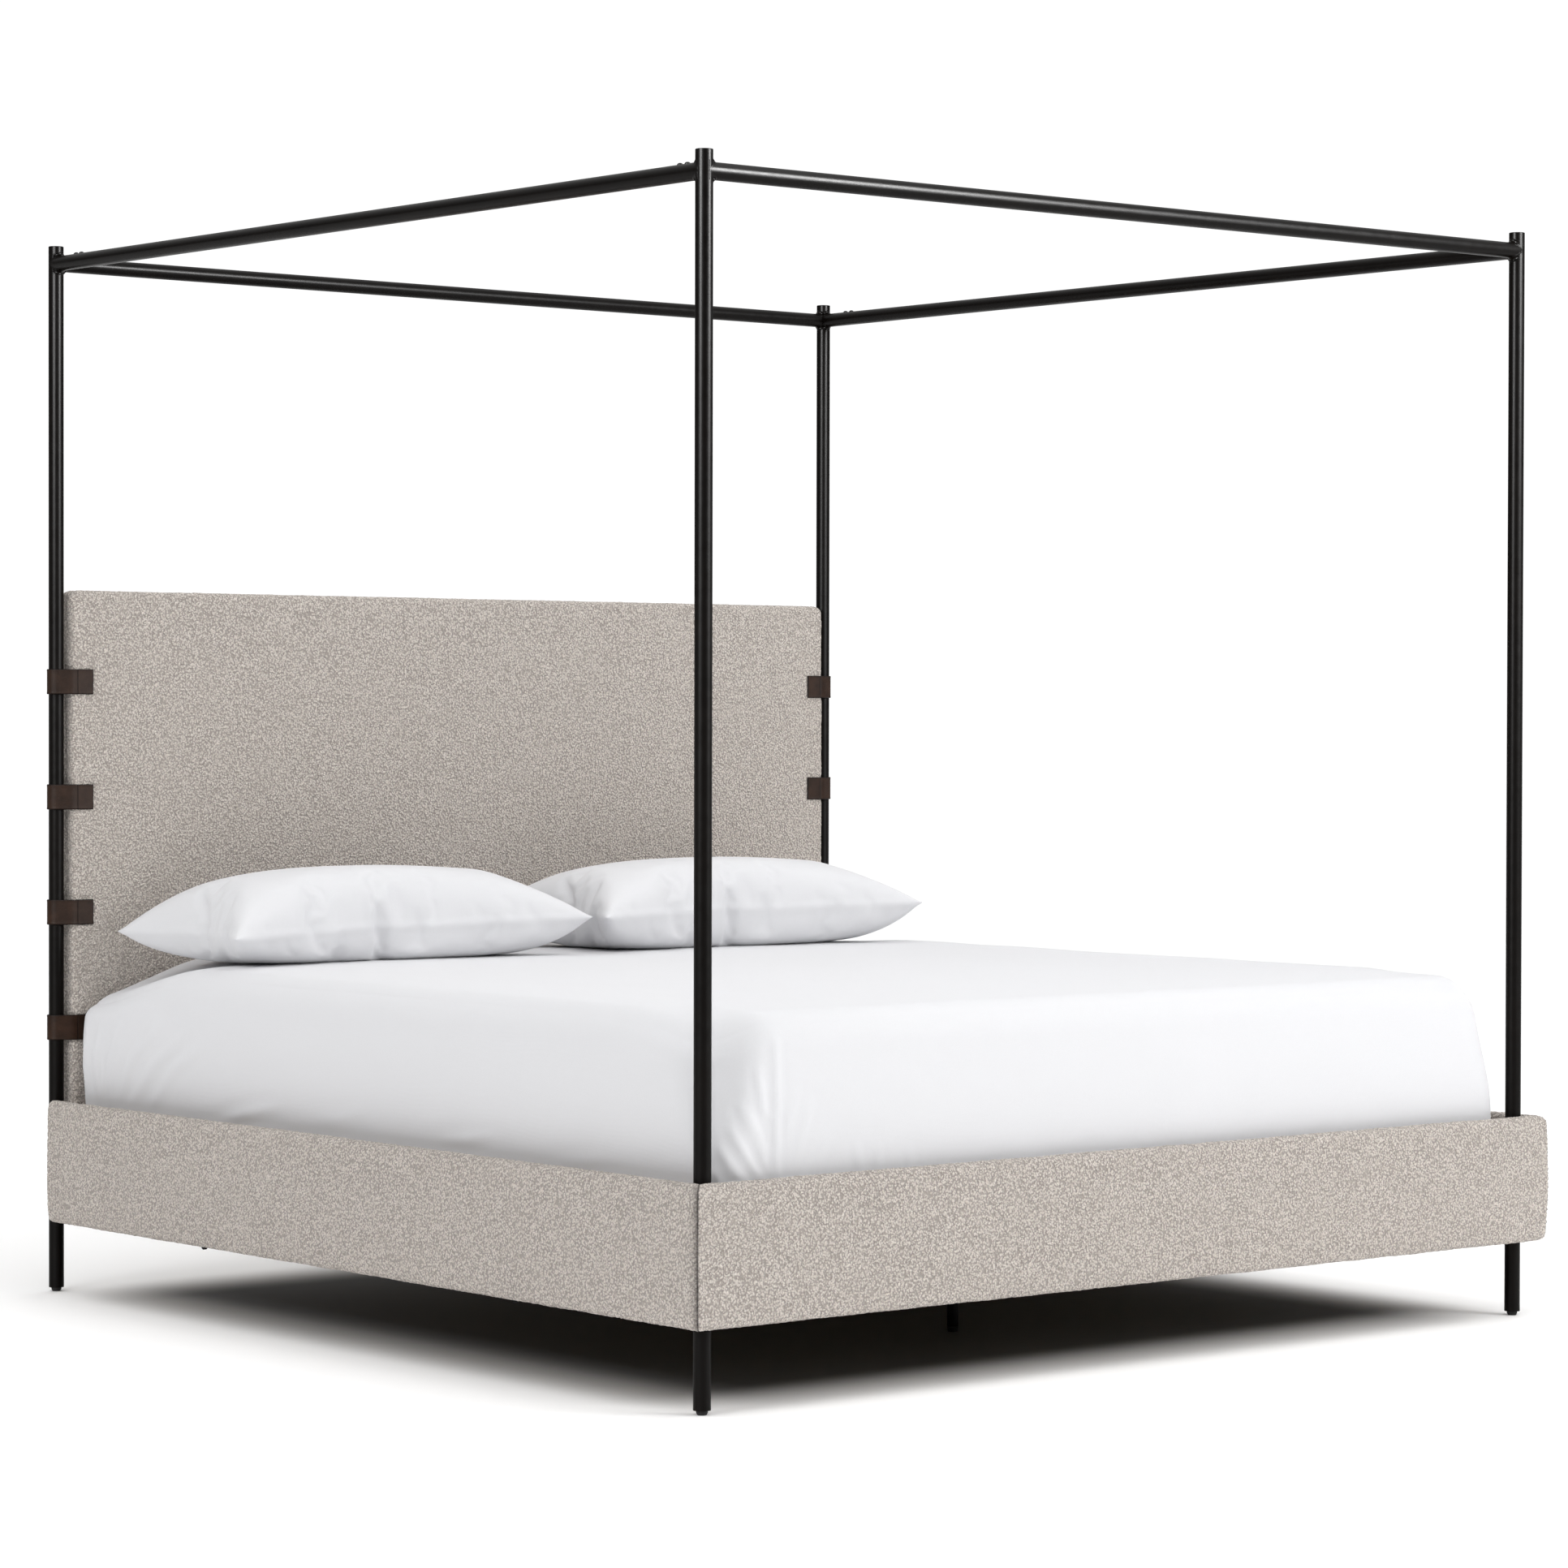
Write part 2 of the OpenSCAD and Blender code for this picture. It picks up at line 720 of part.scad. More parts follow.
module head_cross_rail() {
    color(STEEL) difference() {
        translate([-half_w, head_y - cross_rail_w / 2, hb_bottom - cross_rail_h])
            cube([2 * half_w, cross_rail_w, cross_rail_h]);
        translate([-half_w - 1, head_y - cross_rail_w / 2 + 2, hb_bottom - cross_rail_h + 2])
            cube([2 * half_w + 2, cross_rail_w - 4, cross_rail_h - 4]);
        post_cut();
    }
}

slat_screw_len = slat_t + 20;
module at_slat_screws(sx) {
    for (i = [0 : slat_count - 1])
        for (x = [beam_w / 4, half_w + rail_in - ledger_w / 2 - 4])
            translate([sx * x, slat_y(i), deck_z]) rotate([0, 90, 0]) children();
}

module ledger(sx) {
    x0 = sx > 0 ? half_w + ledger_s : -half_w - rail_in;
    color(PINE) difference() {
        translate([x0, ledger_y0, ledger_z0]) cube([ledger_w, ledger_y1 - ledger_y0, ledger_h]);
        at_ledger_screws(sx) wood_screw(ledger_screw_len);
        at_slat_screws(sx) along_x(0, 0, 0, wood_screw_d / 2, slat_screw_len);
    }
}

module ledger_screws() {
    color(ZINC) {
        for (sx = [-1, 1]) at_ledger_screws(sx) wood_screw(ledger_screw_len);
        at_socket_screws() wood_screw(socket_screw_len);
    }
}

// Square tube across the bed with a welded hanger plate at each end
module cross_beam(y) {
    tip_z = rail_bottom - tongue_show;
    color(STEEL) union() {
        difference() {
            translate([-half_w - plate_s, y - cross_side / 2, cross_z0])
                cube([2 * (half_w + plate_s), cross_side, cross_side]);
            translate([-half_w - big / 10, y - cross_side / 2 + 2, cross_z0 + 2])
                cube([2 * half_w + big / 5, cross_side - 4, cross_side - 4]);
        }
        for (sx = [-1, 1]) difference() {
            x0 = sx > 0 ? half_w + plate_s : -half_w - rail_in;
            slab_x(x0, x0 + plate_t) {
                translate([y - hanger_w / 2, cross_z0 - hanger_drop])
                    square([hanger_w, ledger_z0 - cross_z0 + hanger_drop]);
                translate([y - tongue_w / 2, tip_z + tongue_w / 2])
                    square([tongue_w, cross_z0 - tip_z - tongue_w / 2]);
                translate([y, tip_z + tongue_w / 2]) circle(tongue_w / 2);
            }
            at_side_bolts(sx) bolt_hole();
        }
    }
}

module beam_sockets() {
    foot_face = foot_y - rail_in;
    head_face = head_y - cross_rail_w / 2;
    color(STEEL) {
        difference() {
            union() {
                translate([-socket_w / 2, foot_face, ledger_z0 - 24])
                    cube([socket_w, socket_t, ledger_h + 24]);
                translate([-socket_w / 2, foot_face, ledger_z0 - socket_t])
                    cube([socket_w, socket_shelf, socket_t]);
            }
            at_socket_screws() wood_screw(socket_screw_len);
        }
        translate([-socket_w / 2, head_face - socket_t, ledger_z0 - socket_t])
            cube([socket_w, socket_t, ledger_h + socket_t]);
        translate([-socket_w / 2, head_face - socket_shelf, ledger_z0 - socket_t])
            cube([socket_w, socket_shelf - socket_t + eps, socket_t]);
    }
}

module centre_beam() {
    color(PINE) difference() {
        translate([-beam_w / 2, beam_y0, ledger_z0]) cube([beam_w, beam_y1 - beam_y0, ledger_h]);
        for (sx = [-1, 1]) at_slat_screws(sx)
            along_x(0, 0, 0, wood_screw_d / 2, slat_screw_len);
    }
}

module centre_leg(y) {
    color(STEEL) translate([0, y, 0]) {
        translate([0, 0, leg_glide_h])
            ring(leg_d / 2, leg_wall, cross_z0 - leg_flange_t - leg_glide_h);
        translate([0, 0, cross_z0 - leg_flange_t]) cylinder(r = leg_flange_d / 2, h = leg_flange_t);
    }
}

module slats(sx) {
    color(PINE) difference() {
        for (i = [0 : slat_count - 1])
            translate([sx > 0 ? slat_middle_gap : -slat_tip, slat_y(i) - slat_w / 2, slat_z0])
                cube([slat_tip - slat_middle_gap, slat_w, slat_t]);
        at_slat_screws(sx) wood_screw(slat_screw_len);
    }
}

module slat_screws() {
    color(ZINC) for (sx = [-1, 1]) at_slat_screws(sx) wood_screw(slat_screw_len);
}

// ---- feet ----

module glide_plug(r) {
    difference() {
        cylinder(r = r, h = plug_len);
        translate([0, 0, -1]) cylinder(r = stem_d / 2 + stem_fit, h = plug_len + 2);
    }
}

module glide_plugs() {
    color(BLACK) {
        at_posts() translate([0, 0, glide_h]) glide_plug(bore_r);
        for (y = cross_ys) translate([0, y, leg_glide_h]) glide_plug(leg_d / 2 - leg_wall);
    }
}

// Foot pad that narrows towards the floor, on its threaded stem
module glide(r, h) {
    color(BLACK) union() {
        cylinder(r1 = r * 0.8, r2 = r, h = h * 0.55);
        translate([0, 0, h * 0.55]) cylinder(r = r, h = h * 0.45 - glide_gap);
        cylinder(r = stem_d / 2, h = stem_len);
    }
}

module post_glide(sx, along) translate([sx * half_w, post_y(along), 0]) glide(glide_d / 2, glide_h);
module leg_glide(y) translate([0, y, 0]) glide(leg_d / 2, leg_glide_h);

// ---- mattress, sheet and pillows ----

// Mattress solid with its sides and top pushed out by d
module mattress_block(d) {
    x = mattress_w / 2 + d;
    y0 = mattress_y0 - d;
    y1 = mattress_y1 + d;
    z1 = mattress_z1 + d;
    below = 2 * mattress_edge_r;
    intersection() {
        translate([0, 0, mattress_z0]) linear_extrude(z1 - mattress_z0)
            round_rect(-x, y0, x, y1, mattress_corner_r + d);
        slab_y(y0, y1) round_rect(-x, mattress_z0 - below, x, z1, mattress_edge_r + d);
        slab_x(-x, x) round_rect(y0, mattress_z0 - below, y1, z1, mattress_edge_r + d);
    }
}

module mattress() color(LINEN) mattress_block(0);

module fitted_sheet() {
    color(LINEN) difference() {
        mattress_block(sheet_t);
        mattress_block(0);
    }
}

// Lens of a given width and thickness about the origin, drawn in a plane
module lens(w, t) {
    r = (w * w / 4 + t * t / 4) / t;
    intersection() {
        translate([0, t / 2 - r]) circle(r, $fn = 180);
        translate([0, r - t / 2]) circle(r, $fn = 180);
    }
}

module pillow(x0) {
    color(LINEN) translate([x0 + pillow_len / 2, pillow_y1 - pillow_w / 2, pillow_z0 + pillow_t / 2])
        intersection() {
            slab_y(-pillow_w / 2, pillow_w / 2) lens(pillow_len, pillow_t);
            slab_x(-pillow_len / 2, pillow_len / 2) lens(pillow_w, pillow_t);
        }
}

post(-1, 1);  // head_post_left
post(1, 1);  // head_post_right
post(-1, -1);  // foot_post_left
post(1, -1);  // foot_post_right
post_caps();
end_bar(head_y);  // head_top_bar
end_bar(foot_y);  // foot_top_bar
side_top_bar(-1);  // side_top_bar_left
side_top_bar(1);  // side_top_bar_right
bar_stubs();
canopy_screws();
headboard_panel();
headboard_foam();
headboard_cover();
strap(-1, 0);  // strap_left_1
strap(-1, 1);  // strap_left_2
strap(-1, 2);  // strap_left_3
strap(-1, 3);  // strap_left_4
strap(1, 0);  // strap_right_1
strap(1, 1);  // strap_right_2
strap(1, 2);  // strap_right_3
strap(1, 3);  // strap_right_4
strap_screws();
side_rail_core(-1);  // side_rail_core_left
side_rail_core(1);  // side_rail_core_right
foot_rail_core();
rail_foams();
side_rail_cover(-1);  // side_rail_cover_left
side_rail_cover(1);  // side_rail_cover_right
foot_rail_cover();
head_cross_rail();
head_bracket(-1);  // head_bracket_left
head_bracket(1);  // head_bracket_right
foot_bracket(-1);  // foot_bracket_left
foot_bracket(1);  // foot_bracket_right
rail_bolts();
rail_inserts();
ledger(-1);  // ledger_left
ledger(1);  // ledger_right
ledger_screws();
cross_beam(cross_ys[0]);  // cross_beam_foot
cross_beam(cross_ys[1]);  // cross_beam_head
beam_sockets();
centre_beam();
centre_leg(cross_ys[0]);  // centre_leg_foot
centre_leg(cross_ys[1]);  // centre_leg_head
slats(-1);  // slats_left
slats(1);  // slats_right
slat_screws();
glide_plugs();
post_glide(-1, 1);  // glide_head_left
post_glide(1, 1);  // glide_head_right
post_glide(-1, -1);  // glide_foot_left
post_glide(1, -1);  // glide_foot_right
leg_glide(cross_ys[0]);  // glide_centre_foot
leg_glide(cross_ys[1]);  // glide_centre_head
mattress();
fitted_sheet();
pillow(-pillow_left_in - pillow_len);  // pillow_left
pillow(pillow_right_in);  // pillow_right
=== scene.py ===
# %% [markdown]
# # A four poster canopy bed
# The bed stands on four slim tubes joined by a square of bars at the top. Padded rails in looped
# boucle hide the mattress's lower edge, and a padded headboard hangs between the head posts on
# leather straps. The steel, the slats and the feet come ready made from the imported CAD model, so
# this lesson makes what CAD can't: cloth, leather, stuffing, stitches and finishes. Everything is
# in metres, with the floor at zero and the headboard at the far end of +Y.

# %% Load the frame
import bpy, bmesh, json, math
import numpy as np
from mathutils import Matrix, Vector, noise


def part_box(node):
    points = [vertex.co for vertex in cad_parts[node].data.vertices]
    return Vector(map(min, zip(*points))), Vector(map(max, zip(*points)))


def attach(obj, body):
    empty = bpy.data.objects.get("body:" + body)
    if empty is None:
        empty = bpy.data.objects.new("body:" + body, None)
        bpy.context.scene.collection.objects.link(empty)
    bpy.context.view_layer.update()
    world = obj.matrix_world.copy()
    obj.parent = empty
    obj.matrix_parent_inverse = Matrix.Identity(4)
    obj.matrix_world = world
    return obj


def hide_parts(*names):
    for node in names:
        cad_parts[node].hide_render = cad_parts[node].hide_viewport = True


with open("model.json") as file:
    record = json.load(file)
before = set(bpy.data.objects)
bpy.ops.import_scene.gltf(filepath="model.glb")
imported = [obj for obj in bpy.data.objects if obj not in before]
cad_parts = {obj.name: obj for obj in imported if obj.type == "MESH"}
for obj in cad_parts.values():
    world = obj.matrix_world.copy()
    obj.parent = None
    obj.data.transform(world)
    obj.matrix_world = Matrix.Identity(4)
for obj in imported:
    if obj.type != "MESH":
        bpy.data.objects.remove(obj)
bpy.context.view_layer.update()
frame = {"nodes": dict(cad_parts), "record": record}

nodes = frame["nodes"]

# %% Places measured on the frame
def extent(node):
    """Lowest and highest corner of a CAD node, as two arrays."""
    low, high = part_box(node)
    return np.array(low), np.array(high)

post_low, post_high = extent("head_post_left")
post_radius = (post_high[0] - post_low[0]) / 2
half_width = -(post_high[0] + post_low[0]) / 2
head_y = (post_high[1] + post_low[1]) / 2
foot_low, foot_high = extent("foot_post_left")
foot_y = (foot_high[1] + foot_low[1]) / 2
rail_low, rail_high = extent("side_rail_cover_left")
rail_out = -rail_low[0] - half_width
rail_in = -rail_high[0] - half_width
print(f"post radius {post_radius:.4f}, posts at x {half_width:.3f}, y {foot_y:.4f} and {head_y:.4f}")
print(f"rail {rail_low} {rail_high}, in {rail_in:.4f}, out {rail_out:.4f}")

# %% [markdown]
# ## The camera, the floor and the light
# The camera stands a little to the left of the foot, at chest height, with a long lens, so the
# posts stay upright. The light is a white room with a large soft lamp at the foot's right: the
# foot rail then reads lighter than the side rail. A weaker lamp stands at the left, a third hangs
# over the pillows, and two more only draw streaks on the tubes. The floor has a painted shadow:
# its colour grows dark under the bed, standing in for the shade where the rails keep the light out.

# %% Helpers for objects and node trees
def put(name, data):
    """Adds an object to the scene."""
    thing = bpy.data.objects.new(name, data)
    bpy.context.scene.collection.objects.link(thing)
    return thing

def wire(tree, value, socket):
    """Links an output to a socket, or writes a plain value into the socket."""
    if hasattr(value, "links"):
        tree.links.new(value, socket)
    else:
        socket.default_value = value

def add_node(tree, kind, links=None, **values):
    """Adds a node. Links go by socket; a value is a setting of the node or an input's value."""
    node = tree.nodes.new(kind)
    for key, value in values.items():
        if hasattr(node, key):
            setattr(node, key, value)
        else:
            node.inputs[key.replace("_", " ")].default_value = value
    for key, sources in (links or {}).items():
        for source in sources if isinstance(sources, (list, tuple)) else [sources]:
            tree.links.new(source, node.inputs[key])
    return node

# %% Camera
def make_camera(place, turn, tilt, roll, lens):
    data = bpy.data.cameras.new("camera")
    data.lens = lens
    data.sensor_width = 36
    data.clip_end = 100
    cam = put("camera", data)
    spin = (Matrix.Rotation(math.radians(turn), 4, "Z")
            @ Matrix.Rotation(math.radians(90 + tilt), 4, "X")
            @ Matrix.Rotation(math.radians(roll), 4, "Z"))
    cam.matrix_world = Matrix.Translation(place) @ spin
    bpy.context.scene.camera = cam
    return cam

camera = make_camera((-5.676, -6.886, 1.158), -39.62, -0.89, 0.12, 104.5)
print("camera", tuple(round(v, 3) for v in camera.location))

# %% Floor
def plain_material(name, colour, roughness):
    material = bpy.data.materials.new(name)
    material.use_nodes = True
    shader = material.node_tree.nodes["Principled BSDF"]
    shader.inputs["Base Color"].default_value = (*colour, 1)
    shader.inputs["Roughness"].default_value = roughness
    return material

def floor_with_painted_shadow(pale, shadow_tone, reach, soft):
    """A pale floor with a painted shadow: its colour grows dark under the bed, standing in for the shade
    where the raised rails keep the light out.
    """
    material = plain_material("floor_painted_shadow", (pale, pale, pale), 0.8)
    tree = material.node_tree
    def vector(kind, a, b=(0, 0, 0)):
        node = add_node(tree, "ShaderNodeVectorMath", {0: a}, operation=kind)
        node.inputs[1].default_value = b
        return node
    coords = add_node(tree, "ShaderNodeTexCoord")
    folded = vector("ABSOLUTE", coords.outputs["Object"])
    over = vector("SUBTRACT", folded.outputs[0], (*reach, 0))
    outside = vector("MAXIMUM", over.outputs[0])
    far = vector("LENGTH", outside.outputs[0])
    # Painted shadow: the colour runs from the dark tone under the bed to pale, over soft metres past reach.
    grade = add_node(tree, "ShaderNodeMapRange", {"Value": far.outputs["Value"]},
                     interpolation_type="SMOOTHSTEP", From_Min=0.0, From_Max=soft, To_Min=shadow_tone, To_Max=pale)
    tree.links.new(grade.outputs["Result"], tree.nodes["Principled BSDF"].inputs["Base Color"])
    return material

def make_floor(reach):
    mesh = bpy.data.meshes.new("floor")
    corners = [(-reach, -reach, 0), (reach, -reach, 0), (reach, reach, 0), (-reach, reach, 0)]
    mesh.from_pydata(corners, [], [(0, 1, 2, 3)])
    # 0.03 is the colour of the painted shadow under the bed.
    mesh.materials.append(floor_with_painted_shadow(0.97, 0.03, (0.78, 0.80), 0.30))
    floor = put("floor", mesh)
    return floor

floor = make_floor(60)
print("floor reaches", floor.dimensions[0] / 2, "m from the bed's middle")

# %% Light
def area_lamp(name, place, target, size, power):
    data = bpy.data.lights.new(name, "AREA")
    data.shape = "SQUARE"
    data.size = size
    data.energy = power
    lamp = put(name, data)
    lamp.location = place
    lamp.rotation_euler = (Vector(target) - Vector(place)).to_track_quat("-Z", "Y").to_euler()
    return lamp

def white_room(horizon, zenith, backdrop):
    """A white backdrop, with light that grows from the horizon to the zenith."""
    world = bpy.data.worlds.new("white_room")
    bpy.context.scene.world = world
    world.use_nodes = True
    tree = world.node_tree
    out = tree.nodes["World Output"]
    sky = tree.nodes["Background"]
    sky.inputs["Color"].default_value = (1, 1, 1, 1)
    coords = add_node(tree, "ShaderNodeTexCoord")
    split = add_node(tree, "ShaderNodeSeparateXYZ", {0: coords.outputs["Generated"]})
    grade = add_node(tree, "ShaderNodeMapRange", {"Value": split.outputs["Z"]},
                     From_Min=0.0, From_Max=1.0, To_Min=horizon, To_Max=zenith)
    tree.links.new(grade.outputs["Result"], sky.inputs["Strength"])
    plain = add_node(tree, "ShaderNodeBackground", Color=(1, 1, 1, 1), Strength=backdrop)
    path = add_node(tree, "ShaderNodeLightPath")
    both = add_node(tree, "ShaderNodeMixShader", {
        0: path.outputs["Is Camera Ray"], 1: sky.outputs[0], 2: plain.outputs[0]})
    tree.links.new(both.outputs[0], out.inputs["Surface"])

white_room(0.03, 1.62, 1.06)
bpy.context.scene.view_settings.view_transform = "Standard"
key_lamp = area_lamp("key_lamp", (4.0, -6.6, 2.9), (0, 0, 0.8), 2.8, 200)
side_lamp = area_lamp("side_lamp", (-6.4, -1.2, 2.6), (0, 0, 0.7), 1.8, 55)
head_lamp = area_lamp("head_lamp", (0, -1.6, 3.7), (0, 0.9, 0.8), 1.6, 20)
print("lamps", key_lamp.data.energy, side_lamp.data.energy, head_lamp.data.energy)

# %% Two lamps that only draw streaks
def streak_lamp(name, place, target, size, power):
    """Adds a long highlight to the tubes, and no light to the cloth."""
    lamp = area_lamp(name, place, target, size, power)
    lamp.visible_diffuse = False
    return lamp

streak_lamp("streak_lamp_right", (2.0, -5.0, 3.45), (-1.0, -1.0, 2.1), 1.7, 1650)
streak_lamp("streak_lamp_left", (-6.0, -1.7, 3.5), (-1.0, -1.0, 2.2), 1.8, 1500)

# %% [markdown]
# ## Finishes
# Every finish is a small node tree. The patterns read Object coordinates, because every finished
# piece lies at the origin with its place in its mesh, so one metre in the shader is one metre on
# the bed. A helper keeps each tree short.

# %% A material and its tree
class Tree:
    """Adds shader nodes to one material. Most methods give the output they add."""

    def __init__(self, name):
        self.material = bpy.data.materials.new(name)
        self.material.use_nodes = True
        self.tree = self.material.node_tree
        self.shader = self.tree.nodes["Principled BSDF"]

    def add(self, kind, links=None, **values):
        return add_node(self.tree, kind, links, **values)

    def place(self, scale=(1, 1, 1)):
        coords = self.add("ShaderNodeTexCoord")
        mapping = self.add("ShaderNodeMapping", {"Vector": coords.outputs["Object"]}, Scale=scale)
        return mapping.outputs["Vector"]

    def grain(self, where, scale, detail=3.0, rough=0.55, distortion=0.0):
        return self.add("ShaderNodeTexNoise", {"Vector": where}, noise_type="FBM", Scale=scale,
                        Detail=detail, Roughness=rough, Distortion=distortion).outputs["Fac"]

    def cells(self, where, scale, feature="F1", smooth=None, rand=1.0):
        node = self.add("ShaderNodeTexVoronoi", {"Vector": where}, feature=feature,
                        Scale=scale, Randomness=rand)
        if smooth is not None:
            node.inputs["Smoothness"].default_value = smooth
        return node.outputs["Distance"]

    def ramp(self, fac, stops):
        node = self.add("ShaderNodeValToRGB", {"Fac": fac})
        elements = node.color_ramp.elements
        while len(elements) < len(stops):
            elements.new(0.5)
        for element, (at, colour) in zip(elements, stops):
            element.position = at
            if not hasattr(colour, "__len__"):
                colour = (colour,) * 3
            element.color = (*colour, 1)
        return node.outputs["Color"]

    def mix(self, a, b, fac):
        node = self.add("ShaderNodeMix", data_type="RGBA", blend_type="MIX")
        for value, socket in ((fac, node.inputs[0]), (a, node.inputs[6]), (b, node.inputs[7])):
            wire(self.tree, (*value, 1) if isinstance(value, tuple) else value, socket)
        return node.outputs[2]

    def maths(self, kind, a, b=0.0):
        node = self.add("ShaderNodeMath", operation=kind)
        for value, socket in zip((a, b), node.inputs):
            wire(self.tree, value, socket)
        return node.outputs[0]

    def bump(self, height, distance, strength=1.0, under=None):
        node = self.add("ShaderNodeBump", {"Height": height}, Strength=strength, Distance=distance)
        if under is not None:
            wire(self.tree, under, node.inputs["Normal"])
        return node.outputs["Normal"]

    def finish(self, colour, roughness, normal, **fixed):
        for key, value in (("Base Color", colour), ("Roughness", roughness), ("Normal", normal)):
            wire(self.tree, value, self.shader.inputs[key])
        for key, value in fixed.items():
            self.shader.inputs[key.replace("_", " ")].default_value = value
        return self.material

# %% [markdown]
# ### Bronze powder coat, black screws and zinc
# The tubes carry a satin powder coat, nearly black with a little brown. Powder coat melts into a
# faint orange peel, so a fine bump breaks up its highlight. The small screws are blacker and the
# hidden bolts are bright zinc with a crystal bloom.

# %% Metal finishes
def bronze_coat():
    tree = Tree("bronze_steel")
    where = tree.place()
    cloud = tree.grain(where, 9, 4)
    peel = tree.grain(where, 900, 2)
    colour = tree.ramp(cloud, [(0.3, (0.0016, 0.0010, 0.0007)), (0.7, (0.0030, 0.0019, 0.0013))])
    rough = tree.ramp(tree.grain(where, 60, 5), [(0.3, 0.29), (0.7, 0.35)])
    return tree.finish(colour, rough, tree.bump(peel, 0.0002, 0.12),
                       Metallic=0.0, Specular_IOR_Level=0.07)

def black_oxide():
    tree = Tree("black_screw")
    where = tree.place()
    cloud = tree.grain(where, 200, 3)
    colour = tree.ramp(cloud, [(0.3, (0.006, 0.0055, 0.005)), (0.7, (0.012, 0.011, 0.010))])
    rough = tree.ramp(tree.grain(where, 500, 3), [(0.3, 0.32), (0.7, 0.5)])
    return tree.finish(colour, rough, tree.bump(tree.grain(where, 1500, 2), 0.0001, 0.4),
                       Specular_IOR_Level=0.15)

def zinc_plate():
    tree = Tree("zinc")
    where = tree.place()
    bloom = tree.cells(where, 160)
    colour = tree.ramp(bloom, [(0.1, (0.50, 0.51, 0.53)), (0.8, (0.66, 0.67, 0.68))])
    rough = tree.ramp(tree.grain(where, 300, 3), [(0.3, 0.25), (0.7, 0.45)])
    return tree.finish(colour, rough, tree.bump(bloom, 0.0001, 0.4), Metallic=1.0)

# %% [markdown]
# ### Plywood, pine, foam and the moulded feet
# Pine shows long growth lines along the board and small knots; plywood shows its plies on a cut
# edge. Both use noise stretched along the board. Foam is a fine open cell, and the feet are matt
# plastic with a spark-eroded grain.

# %% Wood, foam and plastic finishes
def pine_board(name, stretch, pale, dark):
    tree = Tree(name)
    where = tree.place(stretch)
    rings = tree.grain(where, 22, 5, 0.6, distortion=0.8)
    fibre = tree.grain(where, 240, 3)
    colour = tree.ramp(rings, [(0.35, pale), (0.52, dark), (0.62, pale)])
    colour = tree.mix(colour, dark, tree.ramp(fibre, [(0.5, 0.0), (0.9, 0.25)]))
    rough = tree.ramp(fibre, [(0.3, 0.70), (0.7, 0.82)])
    return tree.finish(colour, rough, tree.bump(fibre, 0.0004, 0.5), Specular_IOR_Level=0.15)

def foam_block():
    tree = Tree("foam")
    where = tree.place()
    pores = tree.cells(where, 900)
    colour = tree.ramp(pores, [(0.0, (0.62, 0.56, 0.40)), (0.5, (0.82, 0.77, 0.60))])
    return tree.finish(colour, 0.95, tree.bump(pores, 0.0006, 0.8),
                       Specular_IOR_Level=0.1, Sheen_Weight=0.1)

def moulded_foot():
    tree = Tree("foot_plastic")
    where = tree.place()
    grain = tree.grain(where, 1200, 3)
    cloud = tree.grain(where, 40, 3)
    colour = tree.ramp(cloud, [(0.3, (0.014, 0.014, 0.014)), (0.7, (0.024, 0.023, 0.023))])
    rough = tree.ramp(grain, [(0.3, 0.5), (0.7, 0.7)])
    return tree.finish(colour, rough, tree.bump(grain, 0.0002, 0.5), Specular_IOR_Level=0.15)

# %% [markdown]
# ### Boucle
# Boucle is woven from a slubby looped yarn: the cloth is a field of small curls. The larger curls
# are real geometry on the rails and the headboard. The shader adds the smaller ones with winding
# ridges of noise and paints shade into the colour from the same pattern, lighter on the crowns and
# darker in the pits; a sheen catches the loose fibres at glancing angles. A vertex attribute called
# seam holds painted shade: it darkens the cloth where it sinks into a sewn corner.

# %% Boucle
def boucle_cloth():
    tree = Tree("boucle")
    where = tree.place()
    wander = tree.add("ShaderNodeTexNoise", {"Vector": where}, Scale=120, Detail=1)
    shift = tree.add("ShaderNodeVectorMath", {0: wander.outputs["Color"]}, operation="SCALE", Scale=0.005)
    moved = tree.add("ShaderNodeVectorMath", {0: where, 1: shift.outputs[0]}, operation="ADD").outputs[0]
    curls = tree.cells(moved, 245, "SMOOTH_F1", 0.25)
    loops = tree.grain(moved, 310, 1, 0.5)
    ridge = tree.maths("ABSOLUTE", tree.maths("SUBTRACT", loops, 0.5))
    fibres = tree.grain(moved, 1400, 3, 0.6)
    height = tree.maths("SUBTRACT", 1.0, tree.maths("MULTIPLY", curls, 1.5))
    height = tree.maths("SUBTRACT", height, tree.maths("MULTIPLY", ridge, 0.9))
    height = tree.maths("ADD", height, tree.maths("MULTIPLY", tree.maths("SUBTRACT", fibres, 0.5), 0.3))
    # Painted shade: the colour is darker in the pits and lighter on the crowns of the curls.
    shade = tree.ramp(height, [(0.0, (0.39, 0.343, 0.308)), (0.30, (0.675, 0.608, 0.552)),
                               (0.75, (0.840, 0.772, 0.710))])
    cloud = tree.grain(where, 16, 4)
    colour = tree.mix(shade, (0.585, 0.524, 0.470), tree.ramp(cloud, [(0.45, 0.0), (0.75, 0.25)]))
    # Painted shade from the seam attribute: the colour goes dark in sewn corners and pucker troughs.
    seam = tree.add("ShaderNodeAttribute", attribute_name="seam").outputs["Fac"]
    colour = tree.mix(colour, (0.075, 0.062, 0.054), seam)
    return tree.finish(colour, 0.95, tree.bump(height, 0.0040, 1.0), Specular_IOR_Level=0.06,
                       Sheen_Weight=0.25, Sheen_Roughness=0.6)

# %% [markdown]
# ### Leather
# The straps are cut from one thick hide. Grain is a net of small irregular cells; the colour
# drifts slowly over a strap, and the edges are burnished darker and a little glossier. A vertex
# attribute called edge says how close a point is to a cut edge.

